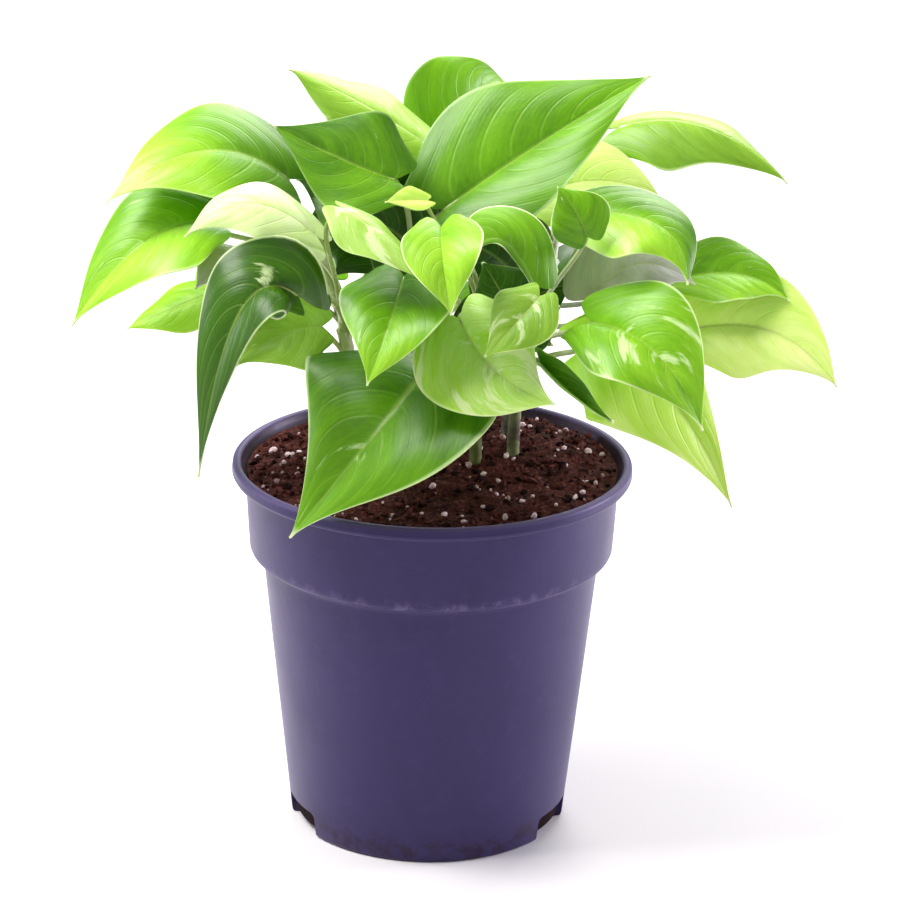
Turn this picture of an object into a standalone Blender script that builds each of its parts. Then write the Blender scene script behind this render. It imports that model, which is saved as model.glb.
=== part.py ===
"""Potted pothos: a plastic nursery pot, its soil, seven rooted stems and their leaves.

Frame: metres, +Z up, -Y is the front. The origin is the middle of the underside of the pot,
on the ground. The plant is placed from the middle of the rim plane, so it rises and sinks
with the pot.
"""

import math

import bmesh
import bpy
from mathutils import Vector

MM = 0.001

# Pot
POT_HEIGHT = 142 * MM
RIM_RADIUS = 75 * MM
LIP_WIDTH = 3.6 * MM
LIP_HEIGHT = 5.0 * MM
LIP_ROUNDING = 1.4 * MM
LIP_OVERHANG = 5.2 * MM
COLLAR_HEIGHT = 33.5 * MM
COLLAR_DRAFT = 1.5 * MM
SHOULDER_HEIGHT = 3.0 * MM
SHOULDER_STEP = 4.9 * MM
BODY_DRAFT = 11.2 * MM
WALL = 1.5 * MM
FLOOR = 2.4 * MM
FOOT_ROUNDING = 1.5 * MM
POT_STEPS = 48
DRAIN_BEARINGS = (-157, -23, 90)
DRAIN_WIDTH = 25 * MM
DRAIN_SILL = 4.0 * MM
DRAIN_HEIGHT = 5.5 * MM
DRAIN_FOOT_RELIEF = 1.6 * MM
DRAIN_CUT_DEPTH = 4.5 * MM
FOOT_CUT_DEPTH = 1.5 * MM

# Soil
GAP = 0.3 * MM
SOIL_BELOW_RIM = 3.6 * MM
SOIL_RINGS = 6
SOIL_HOLE_SIDES = 10
MOUND_AT = (26 * MM, 8 * MM)
MOUND_HEIGHT = 8.0 * MM
MOUND_SPREAD = 34 * MM
SOIL_RIPPLE = 0.8 * MM
SOIL_RIPPLE_LENGTH = 26 * MM

# Plant
CROWN_SCALE = 1.0
STEM_RADIUS = 2.4 * MM
STEM_BURIED = 24 * MM
PETIOLE_RADIUS = 1.3 * MM
PETIOLE_RISE = 0.38
PETIOLE_UNDER = 0.5
PETIOLE_POINTS = 9
STEM_POINTS = 8
TUBE_ROUNDNESS = 1
LEAF_THICKNESS = 0.8 * MM
LEAF_ROWS = 7
LEAF_COLUMNS = 4
LEAF_WIDEST = 0.30
LEAF_BASE_WIDTH = 0.62
LEAF_TAPER = 1.35
LEAF_LOBE = 0.13
LEAF_LOBE_FADE = 4
LEAF_TIP_WIDTH = 0.8 * MM

COLOURS = {
    "pot": (0.052, 0.042, 0.108),
    "soil": (0.030, 0.008, 0.007),
    "stem": (0.330, 0.420, 0.110),
    "green": (0.130, 0.420, 0.015),
    "dark": (0.030, 0.150, 0.012),
    "pale": (0.450, 0.720, 0.200),
    "yellow": (0.520, 0.750, 0.080),
}


def beyond_rim(bearing, beyond, height):
    """Millimetres for a leaf that hangs over the lip: bearing from +X, distance out, height."""
    reach = (RIM_RADIUS / MM + beyond) / CROWN_SCALE
    angle = math.radians(bearing)
    return (reach * math.cos(angle), reach * math.sin(angle), height)


# Each stem: foot on the soil (x, y) and growing tip (x, y, height above the rim), in millimetres
# from the middle of the rim plane.
STEMS = {
    "left_front": {"foot": (-28, -6), "top": (-34, -18, 56)},
    "left_back": {"foot": (-28, 12), "top": (-42, 0, 78)},
    "middle": {"foot": (-6, 4), "top": (-12, -2, 84)},
    "back": {"foot": (-4, 28), "top": (4, 36, 82)},
    "front": {"foot": (16, -8), "top": (17, -14, 62)},
    "right": {"foot": (30, -2), "top": (33, -22, 46)},
    "right_back": {"foot": (28, 22), "top": (44, 8, 76)},
}

# Each leaf: where the blade joins its stalk, the point that its midrib bends towards, and its tip,
# in millimetres from the middle of the rim plane; its width; the way its upper side looks; the
# angle that its halves are folded up from flat; the stem that it grows on, and how far up.
LEAVES = {
    "top_back": dict(seat=(1, 34, 110), bend=(12, 44, 137), tip=(25, 66, 129), width=46,
                     facing=(0.1, -0.8, 0.5), fold=8, stem="back", node=0.95, tone="green"),
    "top_right": dict(seat=(3, -8, 100), bend=(35, 0, 123), tip=(77, 8, 147), width=58,
                      facing=(-0.3, -0.75, 0.6), fold=8, stem="middle", node=1.0, tone="green"),
    "top_left": dict(seat=(-4, 16, 118), bend=(-30, 18, 135), tip=(-55, 20, 144), width=42,
                     facing=(0.1, -0.4, 0.9), fold=-20, stem="middle", node=0.9, tone="pale"),
    "left_upper": dict(seat=(-54, 0, 108), bend=(-83, -11, 136), tip=(-119, -26, 105), width=56,
                       facing=(-0.2, -0.5, 0.85), fold=-8, stem="left_back", node=0.95, tone="green"),
    "left_inner": dict(seat=(-15, -16, 113), bend=(-32, -16, 118), tip=(-60, -8, 130), width=46,
                       facing=(-0.1, -0.6, 0.8), fold=5, stem="middle", node=0.78, tone="green"),
    "left_shaded": dict(seat=(-18, 5, 95), bend=(-34, 10, 104), tip=(-52, 16, 103), width=44,
                        facing=(0.0, -0.7, 0.7), fold=5, stem="middle", node=0.6, tone="dark"),
    "left_pale": dict(seat=(-42, -34, 96), bend=(-67, -42, 123), tip=(-89, -50, 100), width=34,
                      facing=(-0.1, -0.45, 0.9), fold=-18, stem="left_back", node=0.7, tone="pale"),
    "front_ribbon": dict(seat=(-33, -57, 114), bend=(-20, -66, 110), tip=(-4, -76, 93), width=26,
                         facing=(0.3, -0.3, 0.9), fold=-24, stem="left_front", node=1.0, tone="pale"),
    "left_far": dict(seat=(-84, -16, 96), bend=(-107, -27, 99), tip=(-131, -34, 61), width=46,
                     facing=(-0.5, -0.6, 0.6), fold=5, stem="left_back", node=0.82, tone="green"),
    "left_point": dict(seat=(-80, -4, 66), bend=(-97, -8, 60), tip=(-113, -12, 53), width=26,
                       facing=(0.0, -0.5, 0.85), fold=-15, stem="left_back", node=0.35, tone="yellow"),
    "left_small": dict(seat=(-69, -26, 84), bend=(-79, -32, 86), tip=(-86, -38, 77), width=22,
                       facing=(-0.2, -0.6, 0.7), fold=0, stem="left_back", node=0.5, tone="pale"),
    "left_drooping": dict(seat=(-48, -59, 81), bend=(-71, -81, 110), tip=(-83, -74, 18), width=44,
                          facing=(-0.55, -0.75, 0.45), fold=5, stem="left_front", node=0.85,
                          tone="dark"),
    "left_under": dict(seat=(-41, -27, 60), bend=(-54, -30, 62), tip=(-72, -32, 46), width=32,
                       facing=(0.0, -0.7, 0.7), fold=-5, stem="left_front", node=0.55, tone="pale"),
    "front_left": dict(seat=(-11, -46, 86), bend=(-14, -76, 81), tip=(-23, -84, 57), width=42,
                       facing=(-0.15, -0.85, 0.5), fold=6, stem="left_front", node=0.93, tone="green"),
    "front_round": dict(seat=(9, -52, 72), bend=(18, -72, 56), tip=(43, -80, 50), width=48,
                        facing=(-0.1, -0.9, 0.45), fold=5, stem="front", node=0.8, tone="green"),
    "rim_drape": dict(seat=(-2, -36, 49), bend=beyond_rim(-99, -4, 46),
                      tip=beyond_rim(-125, 13, -5), width=78,
                      facing=(-0.25, -0.7, 0.65), fold=4, stem="front", node=0.5, tone="green"),
    "centre": dict(seat=(2, -58, 108), bend=(2, -79, 103), tip=(6, -80, 82), width=30,
                   facing=(-0.1, -0.9, 0.5), fold=12, stem="front", node=1.0, tone="green"),
    "young": dict(seat=(-3, -36, 111), bend=(-10, -42, 113), tip=(-18, -46, 113), width=11,
                  facing=(0.0, -0.6, 0.8), fold=10, stem="front", node=0.92, tone="yellow"),
    "hood": dict(seat=(36, -50, 84), bend=(20, -48, 117), tip=(9, -58, 89), width=20,
                 facing=(0.0, -0.5, 0.85), fold=-5, stem="right", node=0.8, tone="green"),
    "hood_side": dict(seat=(54, -45, 101), bend=(50, -46, 112), tip=(43, -40, 118), width=24,
                      facing=(0.1, -0.85, 0.5), fold=5, stem="right", node=1.0, tone="green"),
    "ragged": dict(seat=(37, -68, 86), bend=(29, -78, 79), tip=(18, -80, 67), width=25,
                   facing=(-0.3, -0.85, 0.4), fold=0, stem="right", node=0.95, tone="pale"),
    "right_folded": dict(seat=(52, -28, 105), bend=(90, -36, 111), tip=(90, -52, 86), width=38,
                         facing=(0.35, -0.6, 0.7), fold=-12, stem="right_back", node=0.9,
                         tone="green"),
    "right_upper": dict(seat=(67, 36, 120), bend=(99, 33, 133), tip=(130, 18, 104), width=44,
                        facing=(0.1, -0.35, 0.95), fold=-28, stem="right_back", node=1.0,
                        tone="pale"),
    "right_yellow": dict(seat=(31, 24, 95), bend=(64, 22, 110), tip=(83, 15, 98), width=36,
                         facing=(0.1, -0.75, 0.65), fold=5, stem="right_back", node=0.95,
                         tone="yellow"),
    "right_far": dict(seat=(92, 14, 69), bend=(118, 18, 74), tip=(132, 14, 60), width=32,
                      facing=(0.2, -0.6, 0.8), fold=5, stem="right_back", node=0.75, tone="green"),
    "right_outer": dict(seat=(96, 12, 49), bend=(130, 10, 59), tip=(150, 0, 31), width=46,
                        facing=(0.1, -0.75, 0.65), fold=3, stem="right_back", node=0.45,
                        tone="yellow"),
    "front_right": dict(seat=(56, -47, 70), bend=(81, -72, 76), tip=(96, -74, 39), width=44,
                        facing=(0.3, -0.8, 0.55), fold=6, stem="right", node=0.95, tone="green"),
    "front_right_low": dict(seat=(55, -34, 56), bend=(82, -42, 62), tip=(109, -52, 2), width=50,
                            facing=(0.25, -0.8, 0.5), fold=6, stem="right", node=0.7,
                            tone="yellow"),
    "rolled": dict(seat=(38, -56, 58), bend=(50, -72, 49), tip=(64, -78, 43), width=13,
                   facing=(0.2, -0.7, 0.6), fold=50, stem="front", node=0.65, tone="dark"),
    "inner_grey": dict(seat=(56, -8, 66), bend=(74, -12, 92), tip=(95, -13, 74), width=42,
                       facing=(0.1, -0.7, 0.7), fold=0, stem="right_back", node=0.6, tone="pale"),
    "inner_dark": dict(seat=(28, -26, 66), bend=(23, -25, 76), tip=(17, -22, 84), width=26,
                       facing=(0.0, -0.8, 0.6), fold=4, stem="front", node=0.75, tone="dark"),
    "inner_shade": dict(seat=(12, 30, 34), bend=(28, 32, 44), tip=(45, 29, 36), width=36,
                        facing=(0.0, -0.9, 0.3), fold=4, stem="back", node=0.4, tone="dark"),
    "back_right": dict(seat=(26, 60, 98), bend=(48, 96, 118), tip=(62, 118, 84), width=50,
                       facing=(0.2, 0.55, 0.8), fold=6, stem="right_back", node=0.85, tone="green"),
    "back_left": dict(seat=(-34, 54, 96), bend=(-60, 84, 116), tip=(-84, 104, 80), width=54,
                      facing=(-0.3, 0.5, 0.8), fold=6, stem="back", node=0.9, tone="green"),
    "back_centre": dict(seat=(-2, 62, 84), bend=(-6, 98, 104), tip=(-12, 122, 60), width=56,
                        facing=(0.0, 0.7, 0.7), fold=5, stem="back", node=0.75, tone="pale"),
    "back_low_left": dict(seat=(-46, 38, 60), bend=(-74, 62, 72), tip=(-98, 76, 30), width=50,
                          facing=(-0.5, 0.5, 0.7), fold=6, stem="left_back", node=0.6,
                          tone="green"),
    "back_low_right": dict(seat=(50, 44, 58), bend=(78, 66, 70), tip=(100, 82, 26), width=52,
                           facing=(0.5, 0.5, 0.7), fold=5, stem="right_back", node=0.55,
                           tone="dark"),
    "back_low": dict(seat=(8, 58, 46), bend=(14, 84, 56), tip=(20, 98, 10), width=48,
                     facing=(0.1, 0.8, 0.6), fold=4, stem="back", node=0.5, tone="green"),
}


def new_collection(name):
    collection = bpy.data.collections.new(name)
    bpy.context.scene.collection.children.link(collection)
    return collection


def new_material(name, colour, roughness):
    material = bpy.data.materials.new(name)
    material.use_nodes = True
    shader = material.node_tree.nodes["Principled BSDF"]
    shader.inputs["Base Color"].default_value = (*colour, 1.0)
    shader.inputs["Roughness"].default_value = roughness
    shader.inputs["Metallic"].default_value = 0.0
    return material


def add_object(name, data, collection):
    obj = bpy.data.objects.new(name, data)
    collection.objects.link(obj)
    return obj


def hide_guide(obj):
    """Mark an object that only cuts or joins another one and is not a piece itself."""
    obj.hide_render = True
    obj.display_type = "WIRE"


def add_guide(name, data):
    obj = add_object(name, data, GUIDES)
    hide_guide(obj)
    return obj


def boolean(obj, other, operation):
    modifier = obj.modifiers.new(other.name, "BOOLEAN")
    modifier.operation = operation
    modifier.object = other
    modifier.use_self = operation == "UNION"


def settled_mesh(obj):
    """The mesh that an object's modifiers or curve make, with its doubled points merged."""
    depsgraph = bpy.context.evaluated_depsgraph_get()
    mesh = bpy.data.meshes.new_from_object(obj.evaluated_get(depsgraph))
    bm = bmesh.new()
    bm.from_mesh(mesh)
    bmesh.ops.remove_doubles(bm, verts=bm.verts, dist=0.01 * MM)
    bm.to_mesh(mesh)
    bm.free()
    return mesh


def replace_with_mesh(obj):
    """Swap an object for one with its settled mesh, under the same name."""
    name = obj.name
    place = obj.matrix_world.copy()
    collection = obj.users_collection[0]
    mesh = settled_mesh(obj)
    bpy.data.objects.remove(obj)
    mesh_object = add_object(name, mesh, collection)
    mesh_object.matrix_world = place
    return mesh_object


def turned(name, profile, steps):
    """A closed body turned about Z from (radius, height) points that run from axis to axis."""
    mesh = bpy.data.meshes.new(name)
    bm = bmesh.new()
    points = [bm.verts.new((radius, 0.0, height)) for radius, height in profile]
    for first, second in zip(points, points[1:]):
        bm.edges.new((first, second))
    bm.to_mesh(mesh)
    bm.free()
    obj = add_object(name, mesh, PLANT)
    screw = obj.modifiers.new("Turn", "SCREW")
    screw.steps = steps
    screw.render_steps = steps
    screw.use_merge_vertices = True
    screw.merge_threshold = 0.01 * MM
    return replace_with_mesh(obj)


def arc(centre_radius, centre_height, radius, start, end, steps):
    """Points of a round corner, its angles in degrees from straight out."""
    points = []
    for step in range(steps + 1):
        angle = math.radians(start + (end - start) * step / steps)
        points.append((centre_radius + radius * math.cos(angle),
                       centre_height + radius * math.sin(angle)))
    return points


# Heights and outer radii of the pot's wall
COLLAR_TOP = POT_HEIGHT - LIP_HEIGHT
COLLAR_FOOT = POT_HEIGHT - COLLAR_HEIGHT
BODY_TOP = COLLAR_FOOT - SHOULDER_HEIGHT
COLLAR_TOP_RADIUS = RIM_RADIUS - LIP_OVERHANG
COLLAR_FOOT_RADIUS = COLLAR_TOP_RADIUS - COLLAR_DRAFT
BODY_TOP_RADIUS = COLLAR_FOOT_RADIUS - SHOULDER_STEP
BASE_RADIUS = BODY_TOP_RADIUS - BODY_DRAFT


def inner_wall(inset):
    """The inside of the pot's wall from the lip down to the floor, moved in by inset."""
    return [
        (RIM_RADIUS - LIP_WIDTH - inset, POT_HEIGHT - LIP_ROUNDING),
        (COLLAR_TOP_RADIUS - WALL - inset, COLLAR_TOP - LIP_ROUNDING),
        (COLLAR_FOOT_RADIUS - WALL - inset, COLLAR_FOOT),
        (BODY_TOP_RADIUS - WALL - inset, BODY_TOP),
        (BASE_RADIUS - WALL - inset, FLOOR + inset),
    ]


def make_pot():
    """The turned wall, floor and lip, with drain slots cut through the foot of the wall."""
    lip_inner = RIM_RADIUS - LIP_WIDTH + LIP_ROUNDING
    lip_outer = RIM_RADIUS - LIP_ROUNDING
    profile = [(0.0, FLOOR)] + inner_wall(0.0)[:0:-1]
    profile += arc(lip_inner, POT_HEIGHT - LIP_ROUNDING, LIP_ROUNDING, 180, 90, 3)
    profile += arc(lip_outer, POT_HEIGHT - LIP_ROUNDING, LIP_ROUNDING, 90, 0, 3)
    profile += arc(lip_outer, COLLAR_TOP + LIP_ROUNDING, LIP_ROUNDING, 0, -90, 3)
    profile += [
        (COLLAR_TOP_RADIUS, COLLAR_TOP),
        (COLLAR_FOOT_RADIUS, COLLAR_FOOT),
        (BODY_TOP_RADIUS, BODY_TOP),
    ]
    profile += arc(BASE_RADIUS - FOOT_ROUNDING, FOOT_ROUNDING, FOOT_ROUNDING, 0, -90, 2)
    profile.append((0.0, 0.0))
    pot = turned("pot", profile, POT_STEPS)
    for number, bearing in enumerate(DRAIN_BEARINGS, start=1):
        middle = DRAIN_SILL + DRAIN_HEIGHT / 2
        cut_block(pot, f"drain_{number}", bearing, DRAIN_CUT_DEPTH, middle, DRAIN_HEIGHT)
        cut_block(pot, f"foot_{number}", bearing, FOOT_CUT_DEPTH, 0.0, 2 * DRAIN_FOOT_RELIEF)
    return replace_with_mesh(pot)


def cut_block(obj, name, bearing, depth, height, tall):
    """Cut a drain-wide block into the pot's foot from outside, at a bearing in degrees from +X."""
    mesh = bpy.data.meshes.new(name)
    bm = bmesh.new()
    bmesh.ops.create_cube(bm, size=1.0)
    bmesh.ops.scale(bm, vec=(2 * depth, DRAIN_WIDTH, tall), verts=bm.verts)
    bm.to_mesh(mesh)
    bm.free()
    block = add_guide(name, mesh)
    angle = math.radians(bearing)
    block.location = (BASE_RADIUS * math.cos(angle), BASE_RADIUS * math.sin(angle), height)
    block.rotation_euler = (0.0, 0.0, angle)
    boolean(obj, block, "DIFFERENCE")


def soil_height(x, y):
    """Height of the soil above its level at the wall: one mound, with low ripples."""
    away = math.hypot(x - MOUND_AT[0], y - MOUND_AT[1])
    mound = MOUND_HEIGHT * math.exp(-((away / MOUND_SPREAD) ** 2))
    turn = 2 * math.pi / SOIL_RIPPLE_LENGTH
    ripple = SOIL_RIPPLE * math.sin(turn * x + 1.0) * math.sin(turn * y)
    return mound + ripple


def make_soil():
    """Soil that fills the pot, heaped where the stems leave it, with a hole for each stem."""
    level = POT_HEIGHT - SOIL_BELOW_RIM
    lip, *below = inner_wall(GAP)
    share = (lip[1] - level) / (lip[1] - below[0][1])
    edge = lip[0] + (below[0][0] - lip[0]) * share
    profile = [(edge * ring / SOIL_RINGS, level) for ring in range(SOIL_RINGS + 1)]
    profile += below
    profile.append((0.0, FLOOR + GAP))
    soil = turned("soil", profile, POT_STEPS)
    for vertex in soil.data.vertices:
        inside = math.hypot(vertex.co.x, vertex.co.y) < edge - GAP
        if inside and vertex.co.z > level - GAP:
            vertex.co.z = level + soil_height(vertex.co.x, vertex.co.y)
    for name, stem in STEMS.items():
        x, y = (value * MM * CROWN_SCALE for value in stem["foot"])
        mesh = bpy.data.meshes.new(f"hole_{name}")
        bm = bmesh.new()
        depth = STEM_BURIED + GAP
        top = MOUND_HEIGHT + STEM_RADIUS
        radius = STEM_RADIUS + 2 * GAP
        bmesh.ops.create_cone(bm, cap_ends=True, segments=SOIL_HOLE_SIDES, radius1=radius,
                              radius2=radius, depth=depth + 2 * top)
        bm.to_mesh(mesh)
        bm.free()
        hole = add_guide(f"hole_{name}", mesh)
        hole.location = (x, y, level + soil_height(x, y) - depth / 2 + top)
        boolean(soil, hole, "DIFFERENCE")
    return replace_with_mesh(soil)


def crown_point(values):
    """A point of the plant, given in millimetres from the middle of the rim plane."""
    return Vector(values) * MM * CROWN_SCALE + Vector((0.0, 0.0, POT_HEIGHT))


def bezier(points, share):
    """A point on the Bezier curve of three or four control points."""
    points = [point.copy() for point in points]
    while len(points) > 1:
        points = [first.lerp(second, share) for first, second in zip(points, points[1:])]
    return points[0]


def tube(name, points, radius, collection):
    """A round tube with closed ends through a list of points, as a mesh object."""
    curve = bpy.data.curves.new(name, "CURVE")
    curve.dimensions = "3D"
    spline = curve.splines.new("POLY")
    spline.points.add(len(points) - 1)
    for place, point in zip(spline.points, points):
        place.co = (*point, 1.0)
    curve.bevel_depth = radius
    curve.bevel_resolution = TUBE_ROUNDNESS
    curve.use_fill_caps = True
    return replace_with_mesh(add_object(name, curve, collection))


def stem_route(stem):
    """Points up a stem, straight in the soil and leaning towards its tip above it."""
    foot = Vector((stem["foot"][0] * MM, stem["foot"][1] * MM, 0.0)) * CROWN_SCALE
    foot.z = POT_HEIGHT - SOIL_BELOW_RIM + soil_height(foot.x, foot.y)
    top = crown_point(stem["top"])
    upright = Vector((foot.x, foot.y, foot.z + (top.z - foot.z) / 2))
    root = foot - Vector((0.0, 0.0, STEM_BURIED))
    above = [bezier([foot, upright, top], step / STEM_POINTS) for step in range(STEM_POINTS + 1)]
    return [root] + above


def leaf_frame(leaf, share):
    """Point, direction, side and upper-side normal of a leaf's midrib."""
    control = [crown_point(leaf[key]) for key in ("seat", "bend", "tip")]
    point = bezier(control, share)
    along = (control[1] - control[0]).lerp(control[2] - control[1], share).normalized()
    facing = Vector(leaf["facing"])
    normal = (facing - along * facing.dot(along)).normalized()
    return point, along, along.cross(normal), normal


def half_width(leaf, share):
    """Half the width of a blade at a share of its length: round shoulders, drawn-out tip."""
    widest = leaf["width"] * MM * CROWN_SCALE / 2
    if share < LEAF_WIDEST:
        rise = math.sin(math.pi / 2 * share / LEAF_WIDEST)
        return widest * (LEAF_BASE_WIDTH + (1 - LEAF_BASE_WIDTH) * rise)
    fall = math.cos(math.pi / 2 * (share - LEAF_WIDEST) / (1 - LEAF_WIDEST))
    return max(widest * fall ** LEAF_TAPER, LEAF_TIP_WIDTH / 2)


def make_leaf(name, leaf):
    """A heart-shaped blade: a grid laid along the midrib, folded at it, and given thickness."""
    mesh = bpy.data.meshes.new(f"leaf_{name}")
    bm = bmesh.new()
    bmesh.ops.create_grid(bm, x_segments=LEAF_ROWS, y_segments=LEAF_COLUMNS, size=1.0)
    midrib = [leaf_frame(leaf, row / LEAF_ROWS)[0] for row in range(LEAF_ROWS + 1)]
    length = sum((second - first).length for first, second in zip(midrib, midrib[1:]))
    fold = math.radians(leaf["fold"])
    for vertex in bm.verts:
        share = (vertex.co.x + 1) / 2
        across = vertex.co.y
        point, along, side, normal = leaf_frame(leaf, share)
        reach = across * half_width(leaf, share)
        lobe = LEAF_LOBE * length * (1 - share) ** LEAF_LOBE_FADE * math.sin(math.pi * abs(across))
        vertex.co = (point - along * lobe + side * reach * math.cos(fold)
                     + normal * abs(reach) * math.sin(fold))
    bmesh.ops.recalc_face_normals(bm, faces=bm.faces)
    bm.to_mesh(mesh)
    bm.free()
    mesh.shade_smooth()
    obj = add_object(f"leaf_{name}", mesh, PLANT)
    solidify = obj.modifiers.new("Thickness", "SOLIDIFY")
    solidify.thickness = LEAF_THICKNESS
    solidify.offset = 0.0
    return obj


def petiole_route(leaf, start):
    """Points of a leaf stalk: it rises off the stem and meets the blade from below."""
    seat, along, _, normal = leaf_frame(leaf, 0.0)
    end = seat - normal * (LEAF_THICKNESS / 2 + GAP + PETIOLE_RADIUS)
    reach = (end - start).length
    rise = start + Vector((0.0, 0.0, reach * PETIOLE_RISE))
    under = end - (along * (1 - PETIOLE_UNDER) + normal * PETIOLE_UNDER) * reach * PETIOLE_RISE
    control = [start, rise, under, end]
    return [bezier(control, step / PETIOLE_POINTS) for step in range(PETIOLE_POINTS + 1)]


def make_stem(name, stem):
    """A stem and the stalks that it grew, joined into one body."""
    route = stem_route(stem)
    obj = tube(f"stem_{name}", route, STEM_RADIUS, PLANT)
    above = route[1:]
    for leaf_name, leaf in LEAVES.items():
        if leaf["stem"] == name:
            place = leaf["node"] * (len(above) - 1)
            lower = min(int(place), len(above) - 2)
            start = above[lower].lerp(above[lower + 1], place - lower)
            start -= (above[-1] - above[-2]).normalized() * STEM_RADIUS
            stalk = tube(f"stalk_{leaf_name}", petiole_route(leaf, start), PETIOLE_RADIUS, GUIDES)
            hide_guide(stalk)
            boolean(obj, stalk, "UNION")
    return replace_with_mesh(obj)


def finish(obj, colour, roughness, angle=40.0):
    """Give a piece its material, and smooth shading up to an angle in degrees."""
    obj.data.materials.clear()
    obj.data.materials.append(new_material(obj.name, COLOURS[colour], roughness))
    obj.data.shade_smooth()
    obj.data.set_sharp_from_angle(angle=math.radians(angle))


for old in list(bpy.data.objects):
    bpy.data.objects.remove(old)
PLANT = new_collection("PottedPothos")
GUIDES = new_collection("Guides")

finish(make_pot(), "pot", 0.45)
finish(make_soil(), "soil", 0.95)
for stem_name, stem_values in STEMS.items():
    finish(make_stem(stem_name, stem_values), "stem", 0.5)
for leaf_name, leaf_values in LEAVES.items():
    finish(make_leaf(leaf_name, leaf_values), leaf_values["tone"], 0.4, 80.0)
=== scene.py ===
# %% [markdown]
# # A potted pothos
#
# The plant is a young, light green pothos in a plastic nursery pot. Its real pieces are the pot,
# the soil, seven rooted stems and 38 leaves. A plain model of all of them is loaded first, as a
# fixed frame. This lesson then makes the finished surface of each piece in the same place: the
# pot's rolled lip, the crumbs of the soil, the tapering stalks, and the veins and markings of the
# leaves.

# %% Load the frame
import math
import random

import bmesh
import bpy
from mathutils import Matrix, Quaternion, Vector, noise


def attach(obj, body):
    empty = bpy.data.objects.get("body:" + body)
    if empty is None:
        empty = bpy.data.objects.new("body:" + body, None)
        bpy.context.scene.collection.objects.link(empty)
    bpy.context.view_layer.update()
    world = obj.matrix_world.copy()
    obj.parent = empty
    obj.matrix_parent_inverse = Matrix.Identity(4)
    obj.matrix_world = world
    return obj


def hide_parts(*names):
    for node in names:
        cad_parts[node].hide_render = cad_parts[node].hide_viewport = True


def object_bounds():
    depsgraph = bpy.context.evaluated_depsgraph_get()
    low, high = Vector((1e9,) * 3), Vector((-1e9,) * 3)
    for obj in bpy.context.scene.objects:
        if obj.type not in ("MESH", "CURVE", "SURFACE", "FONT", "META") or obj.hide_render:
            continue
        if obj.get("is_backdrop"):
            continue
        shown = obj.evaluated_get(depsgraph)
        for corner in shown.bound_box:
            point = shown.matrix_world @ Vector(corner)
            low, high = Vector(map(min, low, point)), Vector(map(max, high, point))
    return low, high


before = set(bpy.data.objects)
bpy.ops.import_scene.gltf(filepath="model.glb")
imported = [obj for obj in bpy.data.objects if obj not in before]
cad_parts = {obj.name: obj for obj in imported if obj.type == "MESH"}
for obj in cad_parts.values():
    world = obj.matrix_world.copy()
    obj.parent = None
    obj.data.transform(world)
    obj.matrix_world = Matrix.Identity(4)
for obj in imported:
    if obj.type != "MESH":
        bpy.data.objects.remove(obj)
cad_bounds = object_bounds()
MM = 0.001
print("nodes in the frame:", len(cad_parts))

# %% [markdown]
# ## Helpers for working by hand
#
# An operator acts on everything that is selected, and the loaded frame is selected when this lesson
# starts. So each step first lets go of everything, then picks the one object that it works on.

# %% Select, apply and name
def select_only(*objects):
    """Select these objects alone, the last one active."""
    if bpy.context.object and bpy.context.object.mode != "OBJECT":
        bpy.ops.object.mode_set(mode="OBJECT")
    bpy.ops.object.select_all(action="DESELECT")
    for obj in objects:
        obj.select_set(True)
    bpy.context.view_layer.objects.active = objects[-1]


def let_go():
    for obj in bpy.context.selected_objects:
        obj.select_set(False)
    bpy.context.view_layer.objects.active = None


def new_piece(name):
    """Name the object that an operator has just added, and its data."""
    obj = bpy.context.object
    obj.name = name
    obj.data.name = name
    return obj


def apply_modifier(obj, kind, **settings):
    """Add a modifier, set it, and apply it at once."""
    modifier = obj.modifiers.new(kind.title(), kind)
    for key, value in settings.items():
        setattr(modifier, key, value)
    select_only(obj)
    bpy.ops.object.modifier_apply(modifier=modifier.name)


def settle(obj):
    """Move an object's place, turn and size into its mesh."""
    select_only(obj)
    bpy.ops.object.transform_apply(location=True, rotation=True, scale=True)


def hand_in(obj, slot, *nodes):
    """A finished piece rides on the one body and stands for its plain nodes."""
    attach(obj, "root")
    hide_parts(*nodes)


def edit_all(obj):
    """Enter edit mode with the whole mesh selected."""
    select_only(obj)
    bpy.ops.object.mode_set(mode="EDIT")
    bpy.ops.mesh.select_all(action="SELECT")


def end_edit():
    """Turn every face outwards and leave edit mode."""
    bpy.ops.mesh.select_all(action="SELECT")
    bpy.ops.mesh.normals_make_consistent(inside=False)
    bpy.ops.object.mode_set(mode="OBJECT")


def link_new(name, data):
    """Show new data as an object of this name."""
    obj = bpy.data.objects.new(name, data)
    bpy.context.scene.collection.objects.link(obj)
    return obj


def write_numbers(mesh, name, numbers):
    """Write one number on each point of a mesh, for a finish to read."""
    mesh.attributes.new(name, "FLOAT", "POINT").data.foreach_set("value", numbers)


let_go()
print("nothing selected:", not bpy.context.selected_objects)

# %% [markdown]
# ## The camera
#
# The eye looks down on the pot by about 20 degrees from a metre and a half away, through a long
# lens, and leans by one degree. The camera is aimed at a point beside the pot's axis, so that the
# wide crown sits in the middle of the frame.

# %% Add the camera
AIM = Vector((6.5, 0.0, 145.6)) * MM
EYE_DISTANCE = 1.5
EYE_RISE = math.radians(19.7)
EYE_LEAN = math.radians(1.0)
LENS = 160.4
SENSOR = 36.0

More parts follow.
